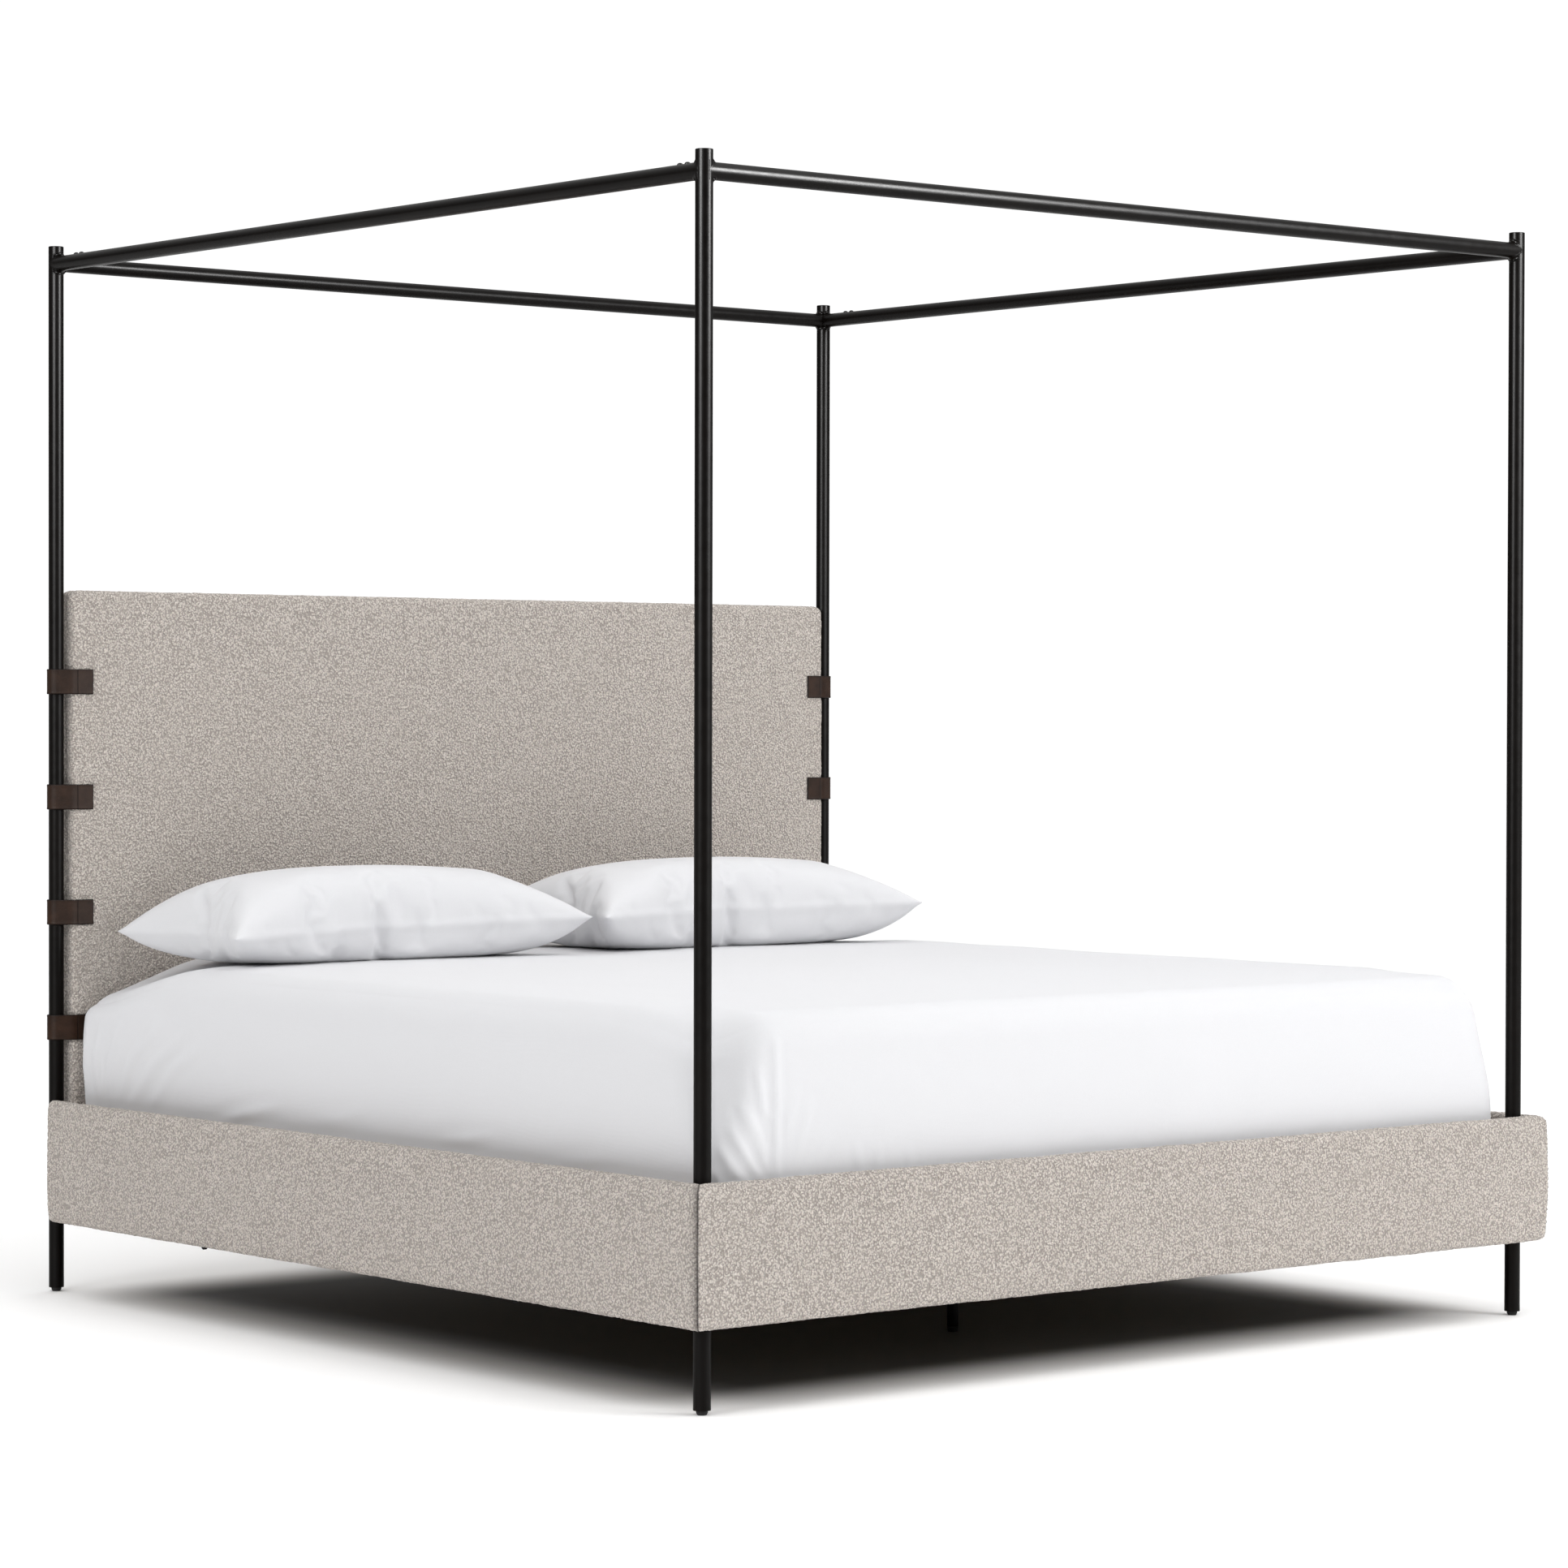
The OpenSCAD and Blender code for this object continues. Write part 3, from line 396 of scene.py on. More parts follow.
# %% Leather
def strap_leather():
    tree = Tree("leather")
    where = tree.place()
    stretched = tree.place((1, 1, 2.2))
    pebble = tree.cells(where, 1300)
    crease = tree.grain(stretched, 190, 4, 0.6)
    height = tree.maths("ADD", tree.maths("MULTIPLY", pebble, 0.6), tree.maths("MULTIPLY", crease, 0.7))
    cloud = tree.grain(where, 35, 4)
    colour = tree.ramp(cloud, [(0.3, (0.018, 0.0092, 0.0058)), (0.7, (0.034, 0.0172, 0.0105))])
    colour = tree.mix(colour, (0.058, 0.034, 0.024), tree.ramp(crease, [(0.58, 0.0), (0.8, 0.4)]))
    edge = tree.add("ShaderNodeAttribute", attribute_name="edge").outputs["Fac"]
    colour = tree.mix(colour, (0.007, 0.004, 0.003), edge)
    rough = tree.ramp(crease, [(0.3, 0.40), (0.7, 0.56)])
    return tree.finish(colour, rough, tree.bump(height, 0.0005, 0.7), Specular_IOR_Level=0.05)

# %% [markdown]
# ### Cotton and ticking
# The sheet and the pillow cases are plain weave cotton: two threads that cross, each thinner than
# a third of a millimetre, so from a distance only a soft mottling and the creases show. The
# mattress's ticking is a knitted cover with a small woven diamond.

# %% Cotton and ticking
def cotton(name, tone):
    tree = Tree(name)
    where = tree.place()
    warp, weft, fall = (
        tree.add("ShaderNodeTexWave", {"Vector": where}, bands_direction=way,
                 Scale=520, Distortion=1.5).outputs["Fac"] for way in "XYZ")
    weave = tree.maths("ADD", tree.maths("ADD", warp, weft), fall)
    slub = tree.grain(where, 700, 4, 0.6)
    crumple = tree.grain(where, 26, 4, 0.5, distortion=0.6)
    colour = tree.ramp(slub, [(0.3, tuple(c * 0.96 for c in tone)), (0.7, tone)])
    fine = tree.bump(weave, 0.00008, 0.5)
    slubs = tree.bump(slub, 0.0002, 0.5, fine)
    rough = tree.ramp(slub, [(0.3, 0.78), (0.7, 0.9)])
    return tree.finish(colour, rough, tree.bump(crumple, 0.002, 0.15, slubs),
                       Specular_IOR_Level=0.06, Sheen_Weight=0.12, Sheen_Roughness=0.5)

def ticking():
    tree = Tree("mattress_ticking")
    where = tree.place()
    knit = tree.cells(where, 420, rand=0.15)
    slub = tree.grain(where, 500, 3)
    colour = tree.ramp(knit, [(0.1, (0.70, 0.70, 0.69)), (0.6, (0.82, 0.82, 0.80))])
    rough = tree.ramp(slub, [(0.3, 0.8), (0.7, 0.92)])
    return tree.finish(colour, rough, tree.bump(knit, 0.0008, 0.6),
                       Specular_IOR_Level=0.1, Sheen_Weight=0.15)

# %% Give each node its finish
finishes = {
    "bronze_steel": bronze_coat(),
    "black_screw": black_oxide(),
    "zinc": zinc_plate(),
    "plywood": pine_board("plywood", (1, 1, 6), (0.60, 0.47, 0.31), (0.46, 0.33, 0.20)),
    "pine": pine_board("pine", (0.12, 1, 1), (0.68, 0.50, 0.30), (0.50, 0.32, 0.16)),
    "foam": foam_block(),
    "foot_plastic": moulded_foot(),
    "boucle": boucle_cloth(),
    "leather": strap_leather(),
    "linen": cotton("linen", (0.676, 0.677, 0.694)),
    "mattress_ticking": ticking(),
}
for part in frame["record"]["subparts"]:
    mesh = nodes[part["node"]].data
    mesh.materials.clear()
    mesh.materials.append(finishes[part["material_slot"]])
print("finishes", sorted(finishes))

# %% [markdown]
# ## Making pieces
# A piece is a mesh whose points already stand in their place on the bed. It rides on a body of
# the CAD model, hides the CAD nodes it stands for, and takes its finish from a slot.

# %% Piece helpers
def add_piece(name, points, faces, slot, body, instead_of=()):
    mesh = bpy.data.meshes.new(name)
    mesh.from_pydata([tuple(p) for p in points], [], [tuple(f) for f in faces])
    mesh.validate()
    piece = put(name, mesh)
    mesh.materials.append(finishes[slot])
    mesh.shade_smooth()
    triangles = sum(len(p.vertices) - 2 for p in mesh.polygons)
    print(f"{name}: {len(mesh.vertices)} points, {triangles} triangles")
    declare(piece, body, instead_of)
    return piece

def declare(piece, body, instead_of=()):
    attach(piece, body)
    if instead_of:
        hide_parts(*instead_of)

def read(items, key):
    flat = np.zeros(len(items) * 3)
    items.foreach_get(key, flat)
    return flat.reshape(-1, 3)

def points_of(mesh):
    return read(mesh.vertices, "co")

def normals_of(mesh):
    return read(mesh.vertex_normals, "vector")

def set_points(mesh, points):
    mesh.vertices.foreach_set("co", np.asarray(points, float).ravel())
    mesh.update()

# %% [markdown]
# ## Upholstered rails and headboard
# Each rail is a plywood core wrapped in foam and boucle. A padded bar is a closed outline carried
# along a line: the outline's points stand close together where the cloth is seen and far apart
# where it isn't. Both ends roll over in a quarter circle. The curls are then pushed out of the
# surface along its normals with winding ridges of noise, which breaks up the outline of the
# cloth in a way that a bump alone can't.

# %% The outline of a padded bar
def spaced(start, end, step):
    count = max(1, int(round(abs(end - start) / step)))
    return np.linspace(start, end, count + 1)

def padded_outline(depth, height, radius, fine, coarse, crown):
    """Points and outward normals of a rounded oblong, seen side (depth = 0) first.

    The seen side and the top are fine, the back and the bottom coarse."""
    points, normals = [], []
    def corner(cx, cz, start, end, step):
        for a in np.linspace(start, end, max(4, int(radius * abs(end - start) / step)))[1:-1]:
            n = (math.cos(a), math.sin(a))
            points.append((cx + radius * n[0], cz + radius * n[1]))
            normals.append(n)
    for z in spaced(radius, height - radius, fine):
        along = (z - radius) / (height - 2 * radius)
        points.append((-crown * math.sin(math.pi * along) ** 0.6, z))
        normals.append((-1, 0))
    corner(radius, height - radius, math.pi, math.pi / 2, fine)
    for x in spaced(radius, depth - radius, fine):
        points.append((x, height))
        normals.append((0, 1))
    corner(depth - radius, height - radius, math.pi / 2, 0, fine)
    for z in spaced(height - radius, radius, coarse):
        points.append((depth, z))
        normals.append((1, 0))
    corner(depth - radius, radius, 0, -math.pi / 2, coarse / 3)
    for x in spaced(depth - radius, radius, fine * 2):
        points.append((x, 0))
        normals.append((0, -1))
    corner(radius, radius, -math.pi / 2, -math.pi, fine)
    return np.array(points), np.array(normals)

# %% Carry the outline along a line
def padded_bar(outline, normals, length, step, end_radius, place):
    """Points and faces of a closed bar. place(depth, height, along) gives a point in space."""
    turns = 7
    roll = [(end_radius * (1 - math.sin(a)), end_radius * (1 - math.cos(a)))
            for a in (math.pi / 2 * k / turns for k in range(1, turns + 1))]
    ring_at = roll[::-1] + [(s, 0.0) for s in spaced(end_radius, length - end_radius, step)]
    ring_at += [(length - s, inset) for s, inset in roll]
    count = len(outline)
    points, faces = [], []
    for s, inset in ring_at:
        ring = outline - normals * inset
        points.extend(place(d, z, s) for d, z in ring)
    for r in range(len(ring_at) - 1):
        a, b = r * count, (r + 1) * count
        faces.extend((a + i, a + (i + 1) % count, b + (i + 1) % count, b + i) for i in range(count))
    faces.append(tuple(range(count))[::-1])
    last = (len(ring_at) - 1) * count
    faces.append(tuple(range(last, last + count)))
    return points, faces

# %% Curls of the yarn
def curl_height(p, size):
    """From about -0.5 in a pit to 1 on the crown of a curl."""
    q = Vector(p) / size
    wander = noise.noise_vector(q * 0.55)
    q = q + wander * 1.1
    first = 1.0 - min(1.0, abs(noise.noise(q)) * 3.2)
    second = 1.0 - min(1.0, abs(noise.noise(q * 0.8 + Vector((31.7, 11.3, 5.1)))) * 3.2)
    crown = max(first, second)
    return crown * 0.9 - 0.25 + 0.4 * noise.noise(q * 0.4 + Vector((7.0, 3.0, 9.0)))

def raise_curls(piece, size, height, drift):
    mesh = piece.data
    points, normals = points_of(mesh), normals_of(mesh)
    lift = np.array([curl_height(p, size) * height for p in points])
    slow = np.array([noise.noise(Vector(p) / 0.07) * drift for p in points])
    set_points(mesh, points + normals * (lift + slow)[:, None])

def face_outwards(piece):
    work = bmesh.new()
    work.from_mesh(piece.data)
    bmesh.ops.recalc_face_normals(work, faces=work.faces)
    work.to_mesh(piece.data)
    work.free()
    piece.data.update()

# %% Side and foot rails
rail_bottom, rail_top = rail_low[2], rail_high[2]
rail_height = rail_top - rail_bottom
rail_depth = rail_out - rail_in
rail_end_y = rail_high[1]
curl_step, coarse_step = 0.0026, 0.022
rail_edge = 0.0125
rail_crown = 0.003
rail_end = 0.003
mitre_gap = 0.0003
curl_size, curl_lift, curl_drift = 0.0038, 0.0017, 0.0010
pucker_pitch, pucker_slant, pucker_height = 0.0085, 0.016, 0.0046
roll_from, roll_wide, roll_height = 0.0065, 0.0042, 0.0015

def rail(name, stands_for, length, place):
    outline = padded_outline(rail_depth, rail_height, rail_edge, curl_step, coarse_step, rail_crown)
    points, faces = padded_bar(*outline, length, curl_step, rail_end, place)
    piece = add_piece(name, points, faces, "boucle", "frame", (stands_for,))
    face_outwards(piece)
    raise_curls(piece, curl_size, curl_lift, curl_drift)
    return piece

# The seam attribute is painted shade: the boucle colour goes dark where it is high.
def paint_seam_shade(piece, values):
    marks = piece.data.attributes.new("seam", "FLOAT", "POINT")
    marks.data.foreach_set("value", np.clip(values, 0, 1))

def gather_seam(piece, side):
    """Short slanting puckers where the side rail's cloth is pulled into the corner seam, with painted shade
    in the seam and the pucker troughs.
    """
    points = points_of(piece.data)
    out = side * points[:, 0] - half_width
    away = np.maximum(points[:, 1] - (foot_y - out), 0)
    wander = np.array([noise.noise(Vector(p) / 0.02) for p in points])
    wave = 0.5 + 0.5 * np.sin(
        2 * math.pi * (points[:, 2] / pucker_pitch + away / pucker_slant) + 2.5 * wander)
    near = np.exp(-np.maximum(away - 0.005, 0) / 0.009) * (1 - np.exp(-away / 0.0022))
    seen = np.clip((out - rail_out + 0.008) / 0.006, 0, 1)
    points[:, 0] += side * seen * near * (pucker_height * wave ** 1.3 - 0.0006)
    set_points(piece.data, points)
    # Painted shade along the seam and in the troughs of the puckers.
    paint_seam_shade(piece, 0.9 * np.exp(-(away / 0.0024) ** 2) + 0.85 * near * (1 - wave) ** 1.2 * seen)

def roll_seam(piece):
    """The foot rail's cloth stands up in a smooth roll beside each corner seam, with painted shade along
    the seam.
    """
    points = points_of(piece.data)
    out = foot_y - points[:, 1]
    away = np.maximum(half_width + out - np.abs(points[:, 0]), 0)
    swell = np.exp(-((away - roll_from) / roll_wide) ** 2)
    seen = np.clip((out - rail_out + 0.008) / 0.006, 0, 1)
    points[:, 1] -= seen * roll_height * swell
    set_points(piece.data, points)
    # Painted shade in a thin line along each seam.
    paint_seam_shade(piece, 0.85 * np.exp(-(away / 0.0013) ** 2))

def side_rail(name, stands_for, side):
    length = rail_end_y - foot_y + rail_out
    def place(depth, height, along):
        out = rail_out - depth
        start = foot_y - out + mitre_gap
        y = start + along / length * (rail_end_y - start)
        return (side * (half_width + out), y, rail_bottom + height)
    piece = rail(name, stands_for, length, place)
    gather_seam(piece, side)
    return piece

def foot_rail(name, stands_for):
    length = 2 * (half_width + rail_out)
    def place(depth, height, along):
        out = rail_out - depth
        x = (2 * along / length - 1) * (half_width + out - mitre_gap)
        return (x, foot_y - out, rail_bottom + height)
    piece = rail(name, stands_for, length, place)
    roll_seam(piece)
    return piece

side_rail("side_rail_cloth_left", "side_rail_cover_left", -1)
side_rail("side_rail_cloth_right", "side_rail_cover_right", 1)
foot_rail("foot_rail_cloth", "foot_rail_cover")

# %% Headboard
board_low, board_high = extent("headboard_cover")
board_step, board_edge, board_crown = 0.0042, 0.012, 0.002
board_corner = 0.020
board_curl_size, board_curl_lift, board_curl_drift = 0.0044, 0.0014, 0.0008
strap_dip, strap_ease = 0.0006, 0.008
strap_rows = [sum(pair[2] for pair in extent(f"strap_left_{n}")) / 2 for n in range(1, 5)]
strap_low, strap_high = extent("strap_left_1")
strap_reach = strap_high[0] + half_width
strap_height = strap_high[2] - strap_low[2]

def press_under_straps(points, flat):
    """The stuffing gives way under each strap, so the cloth dips there and swells beside it."""
    x = half_width - np.abs(points[:, 0])
    level = np.min([np.abs(points[:, 2] - z) for z in strap_rows], axis=0)
    over = np.maximum(x - strap_reach, level - strap_height / 2)
    hold = np.clip(1 - (over - 0.001) / strap_ease, 0, 1)
    hold = hold * hold * (3 - 2 * hold)
    dipped = flat.copy()
    front = points[:, 1] < head_y
    dipped[:, 1] = np.where(front, np.maximum(flat[:, 1], board_low[1]) + strap_dip,
                            np.minimum(flat[:, 1], board_high[1]) - strap_dip)
    return points * (1 - hold)[:, None] + dipped * hold[:, None]

def headboard(name):
    depth = board_high[1] - board_low[1]
    height = board_high[2] - board_low[2]
    length = board_high[0] - board_low[0]
    outline = padded_outline(depth, height, board_edge, board_step, 0.04, board_crown)
    def place(d, z, along):
        high = np.clip((z - height + board_corner) / board_corner, 0, 1)
        short = board_corner / 2 * (1 - math.sqrt(1 - high * high))
        x = (along - length / 2) * (1 - short * 2 / length)
        return ((board_low[0] + board_high[0]) / 2 + x, board_low[1] + d, board_low[2] + z)
    points, faces = padded_bar(*outline, length, board_step, board_edge, place)
    piece = add_piece(name, points, faces, "boucle", "frame", ("headboard_cover",))
    face_outwards(piece)
    flat = points_of(piece.data)
    raise_curls(piece, board_curl_size, board_curl_lift, board_curl_drift)
    set_points(piece.data, press_under_straps(points_of(piece.data), flat))
    return piece

headboard("headboard_cloth")

# %% [markdown]
# ## Welds of the canopy
# Every bar is coped to a post and welded, and the weld is ground to a smooth hollow before the coat
# goes on. The hollow starts on the post and ends on the bar, and it leaves both surfaces without
# a step. So each slice of it is a curve with three handles: a place on the post, the corner where
# the two tubes cross, and a place on the bar. A row of such slices round the bar makes the fillet.

# %% Weld fillets
bar_low, bar_high = extent("foot_top_bar")
bar_z = (bar_low[2] + bar_high[2]) / 2
bar_radius = (bar_high[2] - bar_low[2]) / 2

def weld_fillet(post, ahead, width, turns, slices):
    """Points and faces of the closed hollow round a bar that leaves a post towards ahead."""
    points, faces = [], []
    ring = slices + 2
    for k in range(turns):
        angle = 2 * math.pi * (k + 0.5) / turns
        side, up = math.cos(angle), math.sin(angle)
        grow = min(width, bar_radius / max(abs(side), 1e-6) - bar_radius)
        def spot(reach, radius):
            return (reach, radius * side, radius * up)
        def on_post(radius):
            return spot(math.sqrt(max(post_radius ** 2 - (radius * side) ** 2, 0)), radius)
        start, corner = np.array(on_post(bar_radius + grow)), np.array(on_post(bar_radius))
        end = corner + (0.3 * width + 0.7 * grow, 0, 0)
        skin = np.array([up ** 2, side, up]) * 0.00008
        line = [(1 - t) ** 2 * start + 2 * t * (1 - t) * corner + t * t * end + skin
                for t in np.linspace(0, 1, slices)]
        sunk = 0.0012
        line.append(end - (0, side * sunk, up * sunk))
        line.append(start - (sunk, 0, 0))
        for reach, across, rise in line:
            points.append((post[0] + ahead[0] * reach - ahead[1] * across,
                           post[1] + ahead[1] * reach + ahead[0] * across, bar_z + rise))
    for k in range(turns):
        for j in range(ring):
            a, b = k * ring, (k + 1) % turns * ring
            faces.append((a + j, a + (j + 1) % ring, b + (j + 1) % ring, b + j))
    return points, faces

weld_width, weld_turns, weld_slices = 0.0075, 72, 9

def canopy_welds(name):
    points, faces = [], []
    for x in (-1, 1):
        for y, turn in ((foot_y, 1), (head_y, -1)):
            for ahead in ((-x, 0), (0, turn)):
                post = (x * half_width, y)
                more, quads = weld_fillet(post, ahead, weld_width, weld_turns, weld_slices)
                faces += [tuple(i + len(points) for i in q) for q in quads]
                points += more
    piece = add_piece(name, points, faces, "bronze_steel", "frame")
    face_outwards(piece)
    return piece

canopy_welds("canopy_welds")

# %% [markdown]
# ## Screws of the canopy
# Each long bar slips over a spigot at both ends and is held there by two button-head screws. One
# screw is easy to model, and eight copies by hand are not worth the work: Geometry Nodes can put
# one shape on a list of points. The tree makes the screw from three primitives, a flattened ball,
# a shank and a six-sided socket cut out of the ball, and its sizes are named inputs, so a larger
# screw only needs other numbers.

# %% A helper for geometry trees
class Maker:
    """Adds geometry nodes to one tree and runs it once over a list of points."""

    def __init__(self, name, sizes):
        self.tree = bpy.data.node_groups.new(name, "GeometryNodeTree")
        self.sizes = sizes
        def socket(name, way, kind):
            return self.tree.interface.new_socket(name=name, in_out=way, socket_type=kind).identifier
        socket("Geometry", "INPUT", "NodeSocketGeometry")
        self.keys = {key: socket(key, "INPUT", "NodeSocketFloat") for key in sizes}
        self.finish = socket("Finish", "INPUT", "NodeSocketMaterial")
        socket("Geometry", "OUTPUT", "NodeSocketGeometry")
        self.start = self.tree.nodes.new("NodeGroupInput")
        self.end = self.tree.nodes.new("NodeGroupOutput")

    def size(self, key):
        return self.start.outputs[key]

    def add(self, kind, links=None, **values):
        return add_node(self.tree, kind, links, **values)

    def fill(self, node, values):
        for value, socket in zip(values, node.inputs):
            wire(self.tree, value, socket)
        return node.outputs[0]

    def times(self, a, b):
        return self.fill(self.add("ShaderNodeMath", operation="MULTIPLY"), (a, b))

    def vector(self, x=0.0, y=0.0, z=0.0):
        return self.fill(self.add("ShaderNodeCombineXYZ"), (x, y, z))

    def close(self, instances):
        """Every tree ends in Realize Instances and Set Material."""
        real = self.add("GeometryNodeRealizeInstances", {0: instances})
        coat = self.add("GeometryNodeSetMaterial", {
            0: real.outputs[0], "Material": self.start.outputs["Finish"]})
        self.tree.links.new(coat.outputs[0], self.end.inputs[0])

    def run(self, name, points, slot, body, instead_of=()):
        """Gives the plain mesh that the tree makes from the points."""
        seed = bpy.data.meshes.new("seed")
        seed.from_pydata([tuple(p) for p in points], [], [])
        holder = put("seed", seed)
        modifier = holder.modifiers.new(name, "NODES")
        modifier.node_group = self.tree
        for key, value in self.sizes.items():
            modifier[self.keys[key]] = float(value)
        modifier[self.finish] = finishes[slot]
        shown = holder.evaluated_get(bpy.context.evaluated_depsgraph_get())
        mesh = bpy.data.meshes.new_from_object(shown)
        holder.modifiers.remove(modifier)
        bpy.data.objects.remove(holder)
        mesh.name = name
        piece = put(name, mesh)
        mesh.materials.clear()
        mesh.materials.append(finishes[slot])
        print(f"{name}: {len(points)} copies, {len(mesh.vertices)} points, {len(mesh.polygons)} faces")
        declare(piece, body, instead_of)
        return piece

# %% Where the screws are
def clusters(node, apart):
    """Middle, radius, lowest and highest point of each separate small part of a CAD node."""
    places = {}
    for p in points_of(nodes[node].data):
        key = next((k for k in places if math.hypot(k[0] - p[0], k[1] - p[1]) < apart), (p[0], p[1]))
        places.setdefault(key, []).append(p)
    found = []
    for group in places.values():
        low, high = np.min(group, axis=0), np.max(group, axis=0)
        found.append(((low + high) / 2, (high[0] - low[0]) / 2, low[2], high[2]))
    return found

screws = clusters("canopy_screws", 0.012)
screw_low, screw_high = screws[0][2], screws[0][3]
head_radius = screws[0][1]
print(f"{len(screws)} screws, head radius {head_radius:.5f}, from {screw_low:.4f} to {screw_high:.4f}")

# %% Button-head screws
head_sunk = 0.0008

def button_screws(name):
    bar_top = bar_z + bar_radius
    maker = Maker("button_screws", {
        "Head radius": head_radius, "Head height": screw_high - bar_top + head_sunk,
        "Shank radius": head_radius * 0.55, "Shank length": bar_top - screw_low,
        "Socket radius": head_radius * 0.40, "Socket depth": 0.0016})
    ball = maker.add("GeometryNodeMeshUVSphere", Segments=32, Rings=16, Radius=1.0)
    scale = maker.vector(maker.size("Head radius"), maker.size("Head radius"), maker.size("Head height"))
    head = maker.add("GeometryNodeTransform", {0: ball.outputs[0], "Scale": scale})
    smooth = maker.add("GeometryNodeSetShadeSmooth", {0: head.outputs[0]})
    cutter = maker.add("GeometryNodeMeshCylinder", {
        "Radius": maker.size("Socket radius"),
        "Depth": maker.times(maker.size("Socket depth"), 2.0)}, Vertices=6)
    lifted = maker.add("GeometryNodeTransform", {
        0: cutter.outputs[0], "Translation": maker.vector(z=maker.size("Head height"))})
    cut = maker.add("GeometryNodeMeshBoolean", {
        0: smooth.outputs[0], 1: lifted.outputs[0]}, operation="DIFFERENCE")
    shank = maker.add("GeometryNodeMeshCylinder", {
        "Radius": maker.size("Shank radius"), "Depth": maker.size("Shank length")}, Vertices=16)
    sunk = maker.add("GeometryNodeTransform", {
        0: shank.outputs[0],
        "Translation": maker.vector(z=maker.times(maker.size("Shank length"), -0.5))})
    screw = maker.add("GeometryNodeJoinGeometry", {0: [cut.outputs[0], sunk.outputs[0]]})
    copies = maker.add("GeometryNodeInstanceOnPoints", {
        "Points": maker.size("Geometry"), "Instance": screw.outputs[0]})
    maker.close(copies.outputs[0])
    places = [(middle[0], middle[1], bar_top - head_sunk) for middle, *_ in screws]
    return maker.run(name, places, "black_screw", "frame", ("canopy_screws",))

button_screws("button_head_screws")

# %% [markdown]
# ## Leather straps
# A strap is one band of hide, wrapped round the post and screwed to both faces of the headboard.
# The band's middle line is drawn once as a path; a flat oblong with eased corners is carried
# along it. The cut edges stand slightly proud where the burnishing tool raised them.

# %% Path of a strap
strap_span = (strap_high[1] - strap_low[1]) / 2
board_half = (board_high[1] - board_low[1]) / 2
strap_thick = strap_span - board_half
strap_bend = half_width + board_low[0]
strap_line = 0.032  # a cut line across the band, measured from the post
print(f"strap reach {strap_reach:.4f}, height {strap_height:.4f}, thick {strap_thick:.4f}")

def strap_path(step):
    """Points and outward normals of the strap's middle line, seen from above, round a post at 0, 0."""
    radius = post_radius + 0.0003 + strap_thick / 2
    level = board_half + strap_thick / 2
    reach, bend = strap_reach, strap_bend
    distance = math.hypot(bend, level)
    swing = math.atan2(level, bend) + math.acos(radius / distance)
    touch = (radius * math.cos(swing), radius * math.sin(swing))
    line = strap_line + np.array([0.0020, 0.0011, 0.0005, 0.0, -0.0005, -0.0011, -0.0020])
    run = np.concatenate([reach - np.array([0, 0.0006, 0.0015, 0.0024, 0.0035]),
                          spaced(reach - 0.006, strap_line + 0.004, step), line, [bend + 0.006]])
    path = [(x, level) for x in run]
    corner = []
    ahead = (bend - touch[0], level - touch[1])
    size = math.hypot(*ahead)
    near = (bend - ahead[0] / size * 0.006, level - ahead[1] / size * 0.006)
    for t in np.linspace(0, 1, 7)[1:]:
        a = (1 - t) ** 2 * (bend + 0.006) + 2 * t * (1 - t) * bend + t * t * near[0]
        b = (1 - t) ** 2 * level + 2 * t * (1 - t) * level + t * t * near[1]
        corner.append((a, b))
    path += corner
    path += [tuple(p) for p in np.linspace(near, touch, 8)[1:]]
    path += [(radius * math.cos(a), radius * math.sin(a)) for a in np.linspace(swing, math.pi, 14)[1:]]
    path = np.array(path)
    path = np.vstack([path, (path * (1, -1))[::-1][1:]])
    ahead = np.gradient(path, axis=0)
    ahead /= np.linalg.norm(ahead, axis=1)[:, None]
    return path, np.stack([-ahead[:, 1], ahead[:, 0]], 1) * -1

# %% Straps
cut_ease, rim_raise, slit_depth = 0.0007, 0.0005, 0.0007

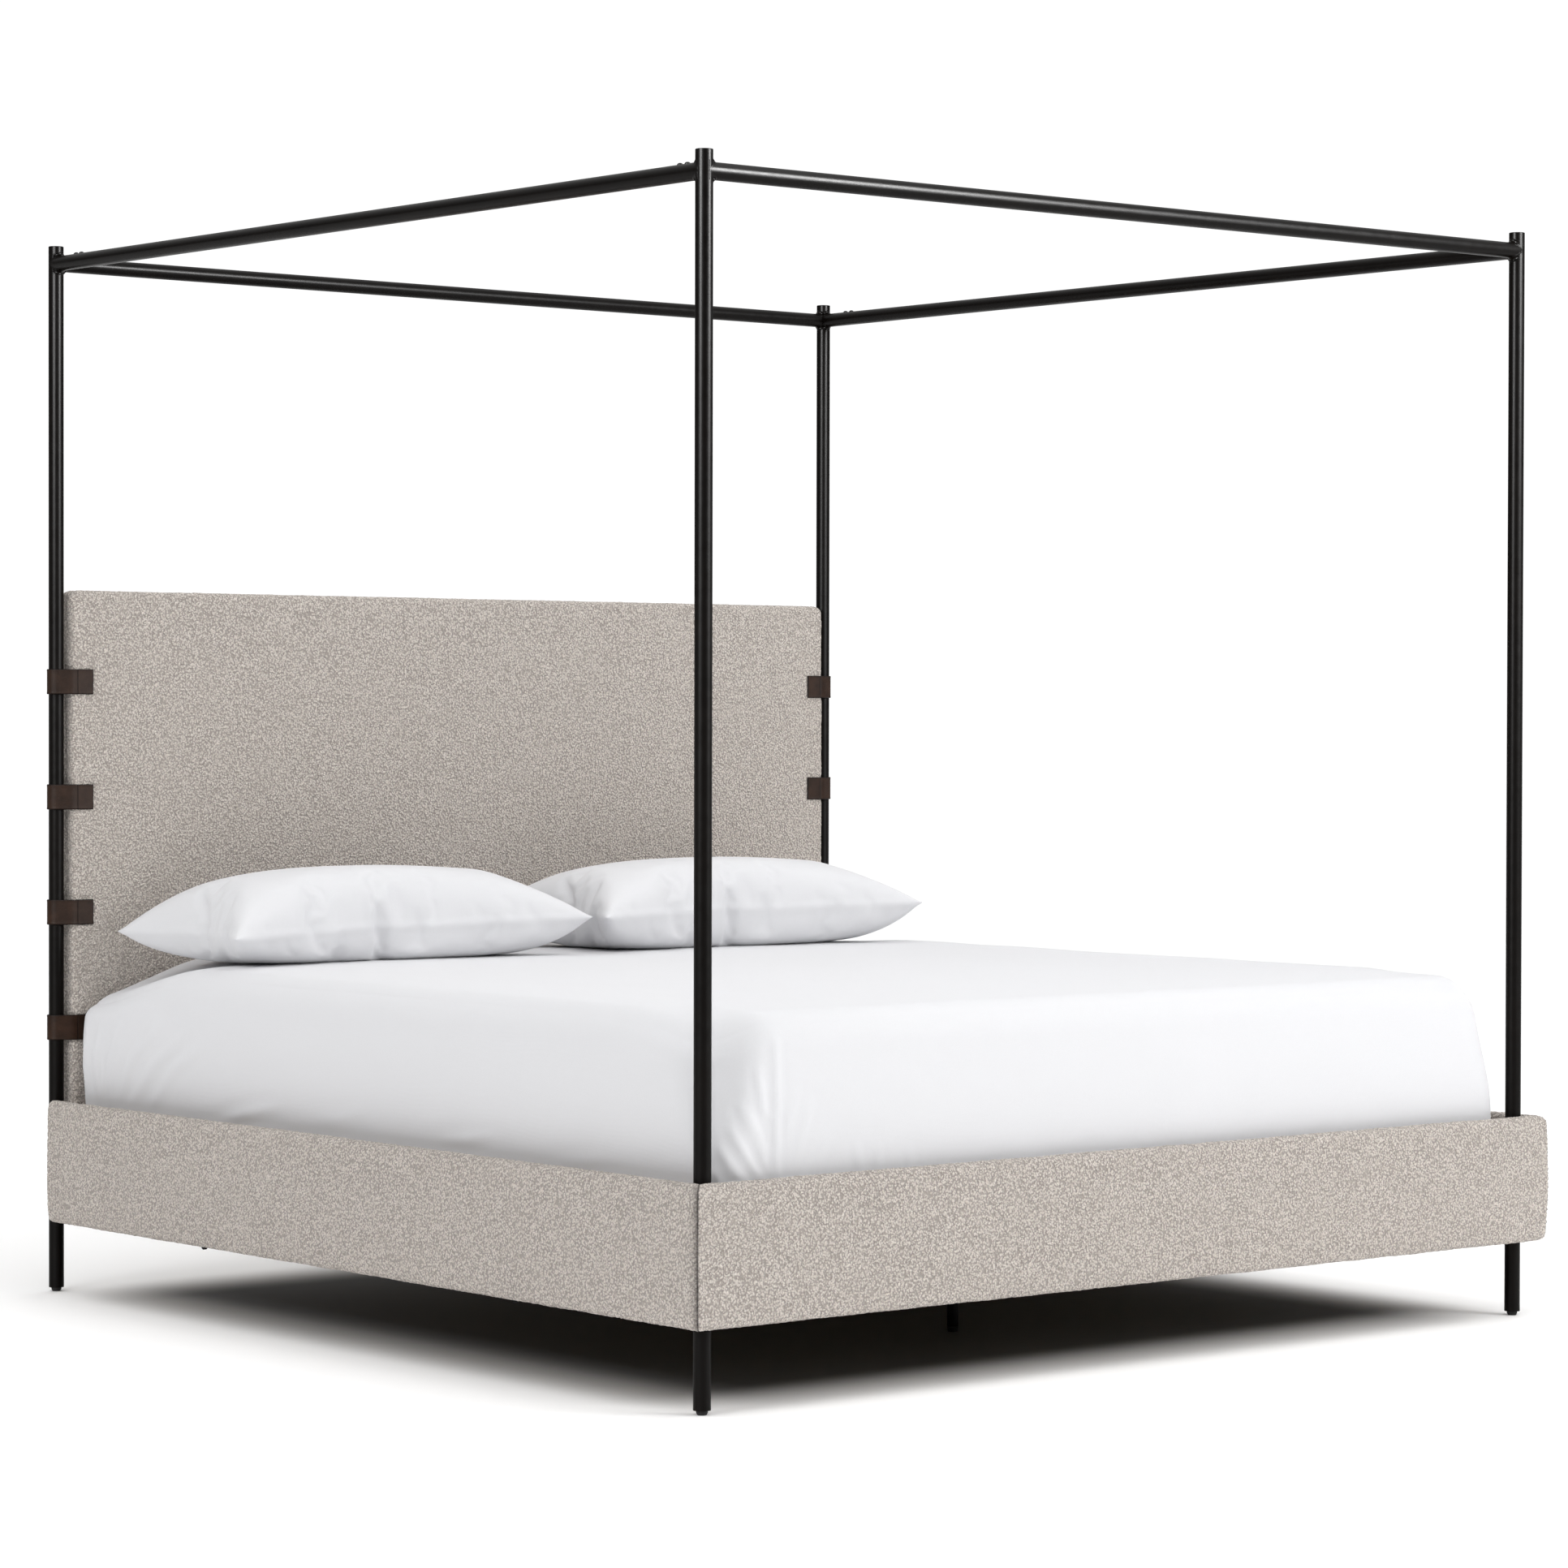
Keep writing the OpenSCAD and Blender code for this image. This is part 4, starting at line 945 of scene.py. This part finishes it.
def strap(name, stands_for, side):
    low, high = extent(stands_for)
    path, out = strap_path(0.003)
    rows = np.concatenate([[0, 0.0006, 0.0016, 0.003], np.linspace(0.005, strap_height - 0.005, 15),
                           strap_height - np.array([0.003, 0.0016, 0.0006, 0])])
    half = strap_thick / 2
    points, faces, edge = [], [], []
    total = len(path)
    run = np.concatenate([[0], np.cumsum(np.linalg.norm(np.diff(path, axis=0), axis=1))])
    for layer in (1, -1):
        for k, (p, n) in enumerate(zip(path, out)):
            end = min(run[k], run[-1] - run[k])
            for z in rows:
                rim = min(z, strap_height - z)
                near = min(rim, end)
                ease = cut_ease * max(0.0, 1 - near / 0.0012) ** 2
                raised = rim_raise * math.exp(-((near - 0.0022) / 0.0011) ** 2)
                slit = math.exp(-((p[0] - strap_line) / 0.0009) ** 2) if abs(p[1]) > board_half else 0.0
                q = p + n * (layer * (half - ease) + ((raised - slit_depth * slit) if layer > 0 else 0))
                points.append((side * (half_width - q[0]), head_y + q[1], low[2] + z))
                edge.append(min(1.0, max(0.0, 1 - near / 0.0028) ** 0.8 + slit))
    count = len(rows)
    block = total * count
    def at(layer, k, j):
        return layer * block + k * count + j
    for layer in (0, 1):
        for k in range(total - 1):
            for j in range(count - 1):
                faces.append((at(layer, k, j), at(layer, k + 1, j),
                              at(layer, k + 1, j + 1), at(layer, k, j + 1)))
    for k in range(total - 1):
        for j in (0, count - 1):
            faces.append((at(0, k, j), at(1, k, j), at(1, k + 1, j), at(0, k + 1, j)))
    for j in range(count - 1):
        for k in (0, total - 1):
            faces.append((at(0, k, j), at(0, k, j + 1), at(1, k, j + 1), at(1, k, j)))
    piece = add_piece(name, points, faces, "leather", "frame", (stands_for,))
    values = piece.data.attributes.new("edge", "FLOAT", "POINT")
    values.data.foreach_set("value", edge)
    face_outwards(piece)
    return piece

for side, word in ((-1, "left"), (1, "right")):
    for number in range(1, 5):
        strap(f"leather_strap_{word}_{number}", f"strap_{word}_{number}", side)

# %% [markdown]
# ## Mattress and fitted sheet
# The mattress is a soft block: its upright corners at the foot grow rounder towards the top, its
# top edge rolls over, and its corners sag, most at the head. The sheet is cut larger than the mattress and
# sewn at the corners, so it lies tight on the top, turns over the edge and tucks beneath. Both
# are grids on the same block, bent by the same rule, so that the sheet can't sink into the
# mattress. The sheet's creases are drawn as soft ridges along short lines.

# %% A block of quads with softened corners
def ramp_up(value, start, end):
    t = np.clip((value - start) / (end - start), 0, 1)
    return t * t * (3 - 2 * t)

def block_grid(axes):
    """Faces of a closed block on three lists of stations, and each point's place on the raw block."""
    sizes = [len(a) for a in axes]
    quads = []
    for k in range(3):
        a, b = [(1, 2), (2, 0), (0, 1)][k]
        i, j = np.meshgrid(np.arange(sizes[a] - 1), np.arange(sizes[b] - 1), indexing="ij")
        for end in (0, sizes[k] - 1):
            corners = []
            for di, dj in ((0, 0), (1, 0), (1, 1), (0, 1)):
                index = np.zeros((i.size, 3), int)
                index[:, k] = end
                index[:, a] = (i + di).ravel()
                index[:, b] = (j + dj).ravel()
                corners.append(index)
            quads.append(np.stack(corners if end else corners[::-1], 1))
    quads = np.concatenate(quads)
    code = (quads[..., 0] * sizes[1] + quads[..., 1]) * sizes[2] + quads[..., 2]
    unique, back = np.unique(code, return_inverse=True)
    index = np.stack([unique // (sizes[1] * sizes[2]), unique // sizes[2] % sizes[1], unique % sizes[2]], 1)
    raw = np.stack([axes[k][index[:, k]] for k in range(3)], 1)
    return raw, back.reshape(quads.shape[:2])

corner_low, corner_more = 0.050, 0.080  # radius of an upright corner, and what the top adds at the foot
top_roll, bottom_roll = 0.055, 0.030
side_from, corner_from, head_from, foot_from = 0.30, 0.12, 0.42, 0.30  # where each sag begins
head_sag, foot_sag, edge_sag = 0.070, 0.040, 0.006
side_swell = 0.011

def soft_block(raw, low, high):
    """Rounds the corners, rolls the edges and lets the corners of the block sag."""
    height = (raw[:, 2] - low[2]) / (high[2] - low[2])
    across = corner_low + corner_more * ramp_up(height, 0.1, 1.0) * ramp_up(-raw[:, 1], -0.5, 0.5)
    middle = (low[:2] + high[:2]) / 2
    half = (high[:2] - low[:2]) / 2
    points = raw.copy()
    q = np.abs(raw[:, :2] - middle) - (half - across[:, None])
    n = np.maximum(q, 0)
    size = np.maximum(np.linalg.norm(n, axis=1), 1e-9)
    sign = np.sign(raw[:, :2] - middle)
    inner = middle + sign * np.minimum(np.abs(raw[:, :2] - middle), half - across[:, None])
    points[:, :2] = inner + sign * n / size[:, None] * n.max(axis=1)[:, None]
    q = np.abs(points[:, :2] - middle) - (half - across[:, None])
    n = np.maximum(q, 0)
    size = np.linalg.norm(n, axis=1)
    gap = np.maximum(across - size - np.minimum(q.max(axis=1), 0), 0)
    lone = np.stack([q[:, 0] >= q[:, 1], q[:, 0] < q[:, 1]], 1).astype(float)
    away = np.where(size[:, None] > 1e-9, n / np.maximum(size, 1e-9)[:, None], lone) * sign
    for level, turn in ((high[2] - raw[:, 2], 1), (raw[:, 2] - low[2], -1)):
        roll = top_roll if turn > 0 else bottom_roll
        a = np.clip(roll - gap, 0, roll)
        b = np.clip(roll - level, 0, roll)
        scale = np.maximum(a, b) / np.maximum(np.hypot(a, b), 1e-9)
        scale = np.where((a > 0) & (b > 0), scale, 1.0)
        points[:, :2] -= away * (a * (1 - scale))[:, None]
        points[:, 2] -= turn * b * (1 - scale)
    x, y = points[:, 0] - middle[0], points[:, 1]
    side = ramp_up(np.abs(x), half[0] - side_from, half[0])
    edge = ramp_up(np.abs(x), half[0] - corner_from, half[0])
    head = ramp_up(y, high[1] - head_from, high[1])
    foot = ramp_up(-y, -low[1] - foot_from, -low[1])
    sag = head_sag * side * head + foot_sag * edge * foot + edge_sag * edge + edge_sag * foot
    swell = side_swell * np.sin(math.pi * np.clip(height, 0, 1) ** 1.3)
    points[:, 0] += np.sign(x) * swell * ramp_up(np.abs(x), half[0] - 0.05, half[0])
    points[:, 1] -= 0.5 * swell * ramp_up(-y, -low[1] - 0.05, -low[1])
    points[:, 2] -= sag * np.clip(height, 0, 1) ** 1.3
    return points

# %% Mattress
mat_low, mat_high = extent("mattress")

def mattress(name):
    axes = [spaced(mat_low[k], mat_high[k], (0.018, 0.018, 0.014)[k]) for k in range(3)]
    raw, faces = block_grid(axes)
    points = soft_block(raw, mat_low, mat_high)
    quilt = np.minimum(np.abs(np.sin((raw[:, 0] + raw[:, 1]) * math.pi / 0.16)),
                       np.abs(np.sin((raw[:, 0] - raw[:, 1]) * math.pi / 0.16))) ** 0.5
    top = np.where(raw[:, 2] > mat_high[2] - 1e-4, -1, np.where(raw[:, 2] < mat_low[2] + 1e-4, 1, 0))
    points[:, 2] += top * (1 - quilt) * 0.004
    piece = add_piece(name, points, faces, "mattress_ticking", "mattress", ("mattress",))
    face_outwards(piece)
    return piece

mattress("mattress_block")

# %% Creases of the sheet
# Each crease is a line in the sheet's own flat measure: how far along the edge from the foot left
# corner (the left side counts backwards), and how high; then its half width and its height.
creases = [
    ([(0.122, 0.615), (0.121, 0.49), (0.127, 0.36)], 0.0075, 0.0085),
    ([(0.084, 0.575), (0.093, 0.505), (0.118, 0.475)], 0.0065, 0.0055),
    ([(0.050, 0.520), (0.082, 0.445), (0.116, 0.385)], 0.0075, 0.0045),
    ([(0.030, 0.480), (0.066, 0.415), (0.100, 0.370)], 0.0070, 0.0040),
    ([(0.068, 0.500), (0.098, 0.440), (0.120, 0.410)], 0.0060, 0.0040),
    ([(0.005, 0.450), (0.045, 0.395), (0.075, 0.360)], 0.0080, 0.0035),
    ([(-0.05, 0.430), (0.00, 0.390), (0.03, 0.355)], 0.0090, 0.0030),
    ([(0.166, 0.527), (0.149, 0.480), (0.140, 0.430)], 0.0070, 0.0030),
    ([(0.198, 0.506), (0.180, 0.450), (0.167, 0.400)], 0.0075, 0.0035),
    ([(0.235, 0.440), (0.215, 0.400), (0.205, 0.370)], 0.0070, 0.0025),
    ([(0.300, 0.425), (0.309, 0.395), (0.312, 0.365)], 0.0080, 0.0022),
    ([(0.350, 0.420), (0.352, 0.392), (0.350, 0.365)], 0.0070, 0.0020),
    ([(0.420, 0.410), (0.424, 0.385), (0.425, 0.360)], 0.0080, 0.0020),
    ([(-1.505, 0.378), (-1.40, 0.402), (-1.303, 0.420)], 0.0100, 0.0050),
    ([(-1.56, 0.520), (-1.66, 0.470), (-1.76, 0.385)], 0.0110, 0.0040),
    ([(-1.63, 0.530), (-1.74, 0.475), (-1.83, 0.390)], 0.0110, 0.0045),
    ([(-1.72, 0.560), (-1.81, 0.500), (-1.88, 0.395)], 0.0100, 0.0050),
    ([(-1.86, 0.590), (-1.90, 0.500), (-1.915, 0.385)], 0.0090, 0.0060),
    ([(-1.935, 0.600), (-1.950, 0.500), (-1.945, 0.385)], 0.0080, 0.0060),
    ([(-1.985, 0.580), (-1.995, 0.480), (-1.985, 0.385)], 0.0080, 0.0055),
    ([(-0.62, 0.416), (-0.70, 0.402), (-0.78, 0.398)], 0.0090, 0.0035),
    ([(-1.02, 0.430), (-1.10, 0.410), (-1.17, 0.404)], 0.0110, 0.0025),
    ([(-0.30, 0.400), (-0.36, 0.388), (-0.45, 0.384)], 0.0090, 0.0022),
]

crease_depth = 0.6

def crease_lift(raw, low, high):
    """Height of all creases at each point of the raw block."""
    dx, dy = raw[:, 0] - low[0], raw[:, 1] - low[1]
    top = raw[:, 2] > high[2] - 1e-4
    at_foot = np.where(top, dy <= dx, dy < 1e-4)
    along = np.where(at_foot, dx, -dy)
    up = np.where(top, high[2] + np.minimum(dx, dy), raw[:, 2])
    seen = (at_foot | (dx < 1e-4) | (top & (dx < 0.3))) & (raw[:, 2] > low[2] + 1e-4)
    here = np.stack([along, up], 1)
    lift = np.zeros(len(raw))
    for line, width, rise in creases:
        line = np.array(line)
        steps = np.linalg.norm(np.diff(line, axis=0), axis=1)
        total, run = steps.sum(), 0.0
        best, share = np.full(len(raw), 9.0), np.zeros(len(raw))
        for start, end, step in zip(line[:-1], line[1:], steps):
            t = np.clip(((here - start) @ (end - start)) / step ** 2, 0, 1)
            far = np.linalg.norm(here - start - t[:, None] * (end - start), axis=1)
            nearer = far < best
            best = np.where(nearer, far, best)
            share = np.where(nearer, (run + t * step) / total, share)
            run += step
        fade = np.sin(math.pi * np.clip(share * 0.9 + 0.08, 0, 1)) ** 0.7
        ridge = np.exp(-(best / width) ** 2) - 0.35 * np.exp(-((best - 2.2 * width) / width) ** 2)
        lift += crease_depth * rise * fade * ridge
    return lift * seen

# %% Fitted sheet
def stations(low, high, parts):
    """Stations whose step changes along the way. parts are (share of the way, step)."""
    result, at = [low], low
    for share, step in parts:
        end = low + (high - low) * share
        result.extend(spaced(at, end, step)[1:])
        at = end
    return np.array(result)

def fitted_sheet(name):
    skin, tuck = 0.0018, 0.11  # how far the sheet lies off the mattress, and how far it tucks under
    low, high = mat_low - skin, mat_high + skin
    axes = [stations(low[0], high[0], [(0.27, 0.006), (1.0, 0.016)]),
            stations(low[1], high[1], [(0.07, 0.006), (0.70, 0.016), (1.0, 0.009)]),
            stations(low[2], high[2], [(0.12, 0.013), (1.0, 0.0075)])]
    raw, faces = block_grid(axes)
    points = soft_block(raw, low, high)
    centre = raw[faces].mean(axis=1)
    gap = np.minimum(centre[:, :2] - low[:2], high[:2] - centre[:, :2]).min(axis=1)
    faces = faces[~((centre[:, 2] < low[2] + 1e-4) & (gap > tuck))]
    used, back = np.unique(faces, return_inverse=True)
    raw, points, faces = raw[used], points[used], back.reshape(faces.shape)
    piece = add_piece(name, points, faces, "linen", "mattress", ("fitted_sheet",))
    lift = np.maximum(crease_lift(raw, low, high), -0.001)
    slow = np.array([noise.noise(Vector(p) / 0.16) for p in points]) * 0.0016 + 0.0016
    set_points(piece.data, points + normals_of(piece.data) * (lift + slow)[:, None])
    return piece

fitted_sheet("fitted_sheet_cloth")

# %% [markdown]
# ## Pillows
# A pillow is two oblongs of cotton sewn round the edge and stuffed. Cloth simulation makes it in
# the same way: a flat double panel is blown up by a little pressure, and because the panel hardly
# stretches, its seam puckers and its corners draw out into ears. Then the underside is flattened
# where the pillow rests on the bed, and the seam is drawn out into a narrow lip.

# %% Blow up a case
cotton_case = {
    "quality": 6, "mass": 0.25, "use_pressure": True, "uniform_pressure_force": 6.0,
    "tension_stiffness": 25, "compression_stiffness": 25, "shear_stiffness": 8,
    "bending_stiffness": 1.2, "air_damping": 4}

def blown_case(width, depth, step, frames):
    nx, ny = int(round(width / step)), int(round(depth / step))
    xs, ys = np.linspace(-0.5, 0.5, nx + 1), np.linspace(-0.5, 0.5, ny + 1)
    x, y = np.meshgrid(xs, ys, indexing="ij")
    bow_x = 1 - 0.035 * (1 - (2 * y) ** 2)
    bow_y = 1 - 0.045 * (1 - (2 * x) ** 2)
    rise = 0.012 * np.clip(1 - (2 * x) ** 2, 0, 1) ** 0.5 * np.clip(1 - (2 * y) ** 2, 0, 1) ** 0.5
    wobble = np.array([[noise.noise(Vector((a * 9, b * 9, 0.3))) for b in ys] for a in xs]) * 0.0008
    inside = (np.abs(x) < 0.4999) & (np.abs(y) < 0.4999)
    top = np.stack([x * width * bow_x, y * depth * bow_y, rise + wobble * inside], -1).reshape(-1, 3)
    low = np.stack([x * width * bow_x, y * depth * bow_y, -rise + wobble * inside], -1).reshape(-1, 3)
    index = np.arange((nx + 1) * (ny + 1)).reshape(nx + 1, ny + 1)
    under = index.copy()
    fresh = np.cumsum(inside.ravel()).reshape(inside.shape) - 1 + index.size
    under[inside] = fresh[inside]
    points = np.vstack([top, low[inside.ravel()]])
    faces = []
    for grid, flip in ((index, False), (under, True)):
        a, b, c, d = grid[:-1, :-1], grid[1:, :-1], grid[1:, 1:], grid[:-1, 1:]
        quad = np.stack([a, b, c, d], -1).reshape(-1, 4)
        faces.append(quad[:, ::-1] if flip else quad)
    faces = np.vstack(faces)
    mesh = bpy.data.meshes.new("case")
    mesh.from_pydata(points.tolist(), [], faces.tolist())
    case = put("case", mesh)
    scene = bpy.context.scene
    cloth = case.modifiers.new("cloth", "CLOTH")
    for key, value in cotton_case.items():
        setattr(cloth.settings, key, value)
    cloth.settings.effector_weights.gravity = 0
    cloth.collision_settings.use_collision = False
    cloth.collision_settings.use_self_collision = False
    cloth.point_cache.frame_start, cloth.point_cache.frame_end = 1, frames
    for f in range(1, frames + 1):
        scene.frame_set(f)
    bpy.context.view_layer.update()
    shown = case.evaluated_get(bpy.context.evaluated_depsgraph_get())
    result = points_of(bpy.data.meshes.new_from_object(shown))
    scene.frame_set(1)
    bpy.data.objects.remove(case)
    print("case", width, depth, "blown to", (result.max(0) - result.min(0)).round(3))
    return result, faces, index

# %% Lay the pillows down
def settle(points, size, seam, lean):
    """Flattens the underside where the pillow rests. seam is the height of its edge, as a share."""
    reach = points.max(0) - points.min(0)
    points = points * (size / reach)
    below = points[:, 2] < 0
    full = np.clip(np.abs(points[:, 2]) / (size[2] / 2), 0, 1)
    along = points[:, 0] / size[0] * 2
    edge = np.clip(seam + lean * along, 0.1, 0.9)
    upper = (1 - edge) * (1 - (1 - full) ** 1.35)
    lower = -edge * (1 - (1 - full) ** 2.6)
    points[:, 2] = size[2] * (edge + np.where(below, lower, upper))
    points[:, 2] -= points[:, 2].min()
    return points

def sew_edge(points, index, lip):
    """Draws the seam out into a narrow lip all round."""
    for side in (index[0], index[-1]):
        points[side, 0] += lip * np.sign(points[side, 0])
    for side in (index[:, 0], index[:, -1]):
        points[side, 1] += lip * np.sign(points[side, 1])
    return points

panel_width, panel_depth, panel_step = 0.98, 0.57, 0.0125
blow_frames = 26
lip = 0.003

def pillow(name, body, seam, lean):
    low, high = extent(body)
    size = high - low
    points, faces, index = blown_case(panel_width, panel_depth, panel_step, blow_frames)
    points = sew_edge(settle(points, size - (2 * lip, 2 * lip, 0), seam, lean), index, lip)
    points[:, 2] *= size[2] / points[:, 2].max()
    points += ((low[0] + high[0]) / 2, (low[1] + high[1]) / 2, low[2])
    piece = add_piece(name, points, faces, "linen", body, (body,))
    level = piece.modifiers.new("smooth", "SUBSURF")
    level.levels = level.render_levels = 1
    face_outwards(piece)
    return piece

pillow("pillow_case_left", "pillow_left", 0.37, 0.06)
pillow("pillow_case_right", "pillow_right", 0.44, 0.03)
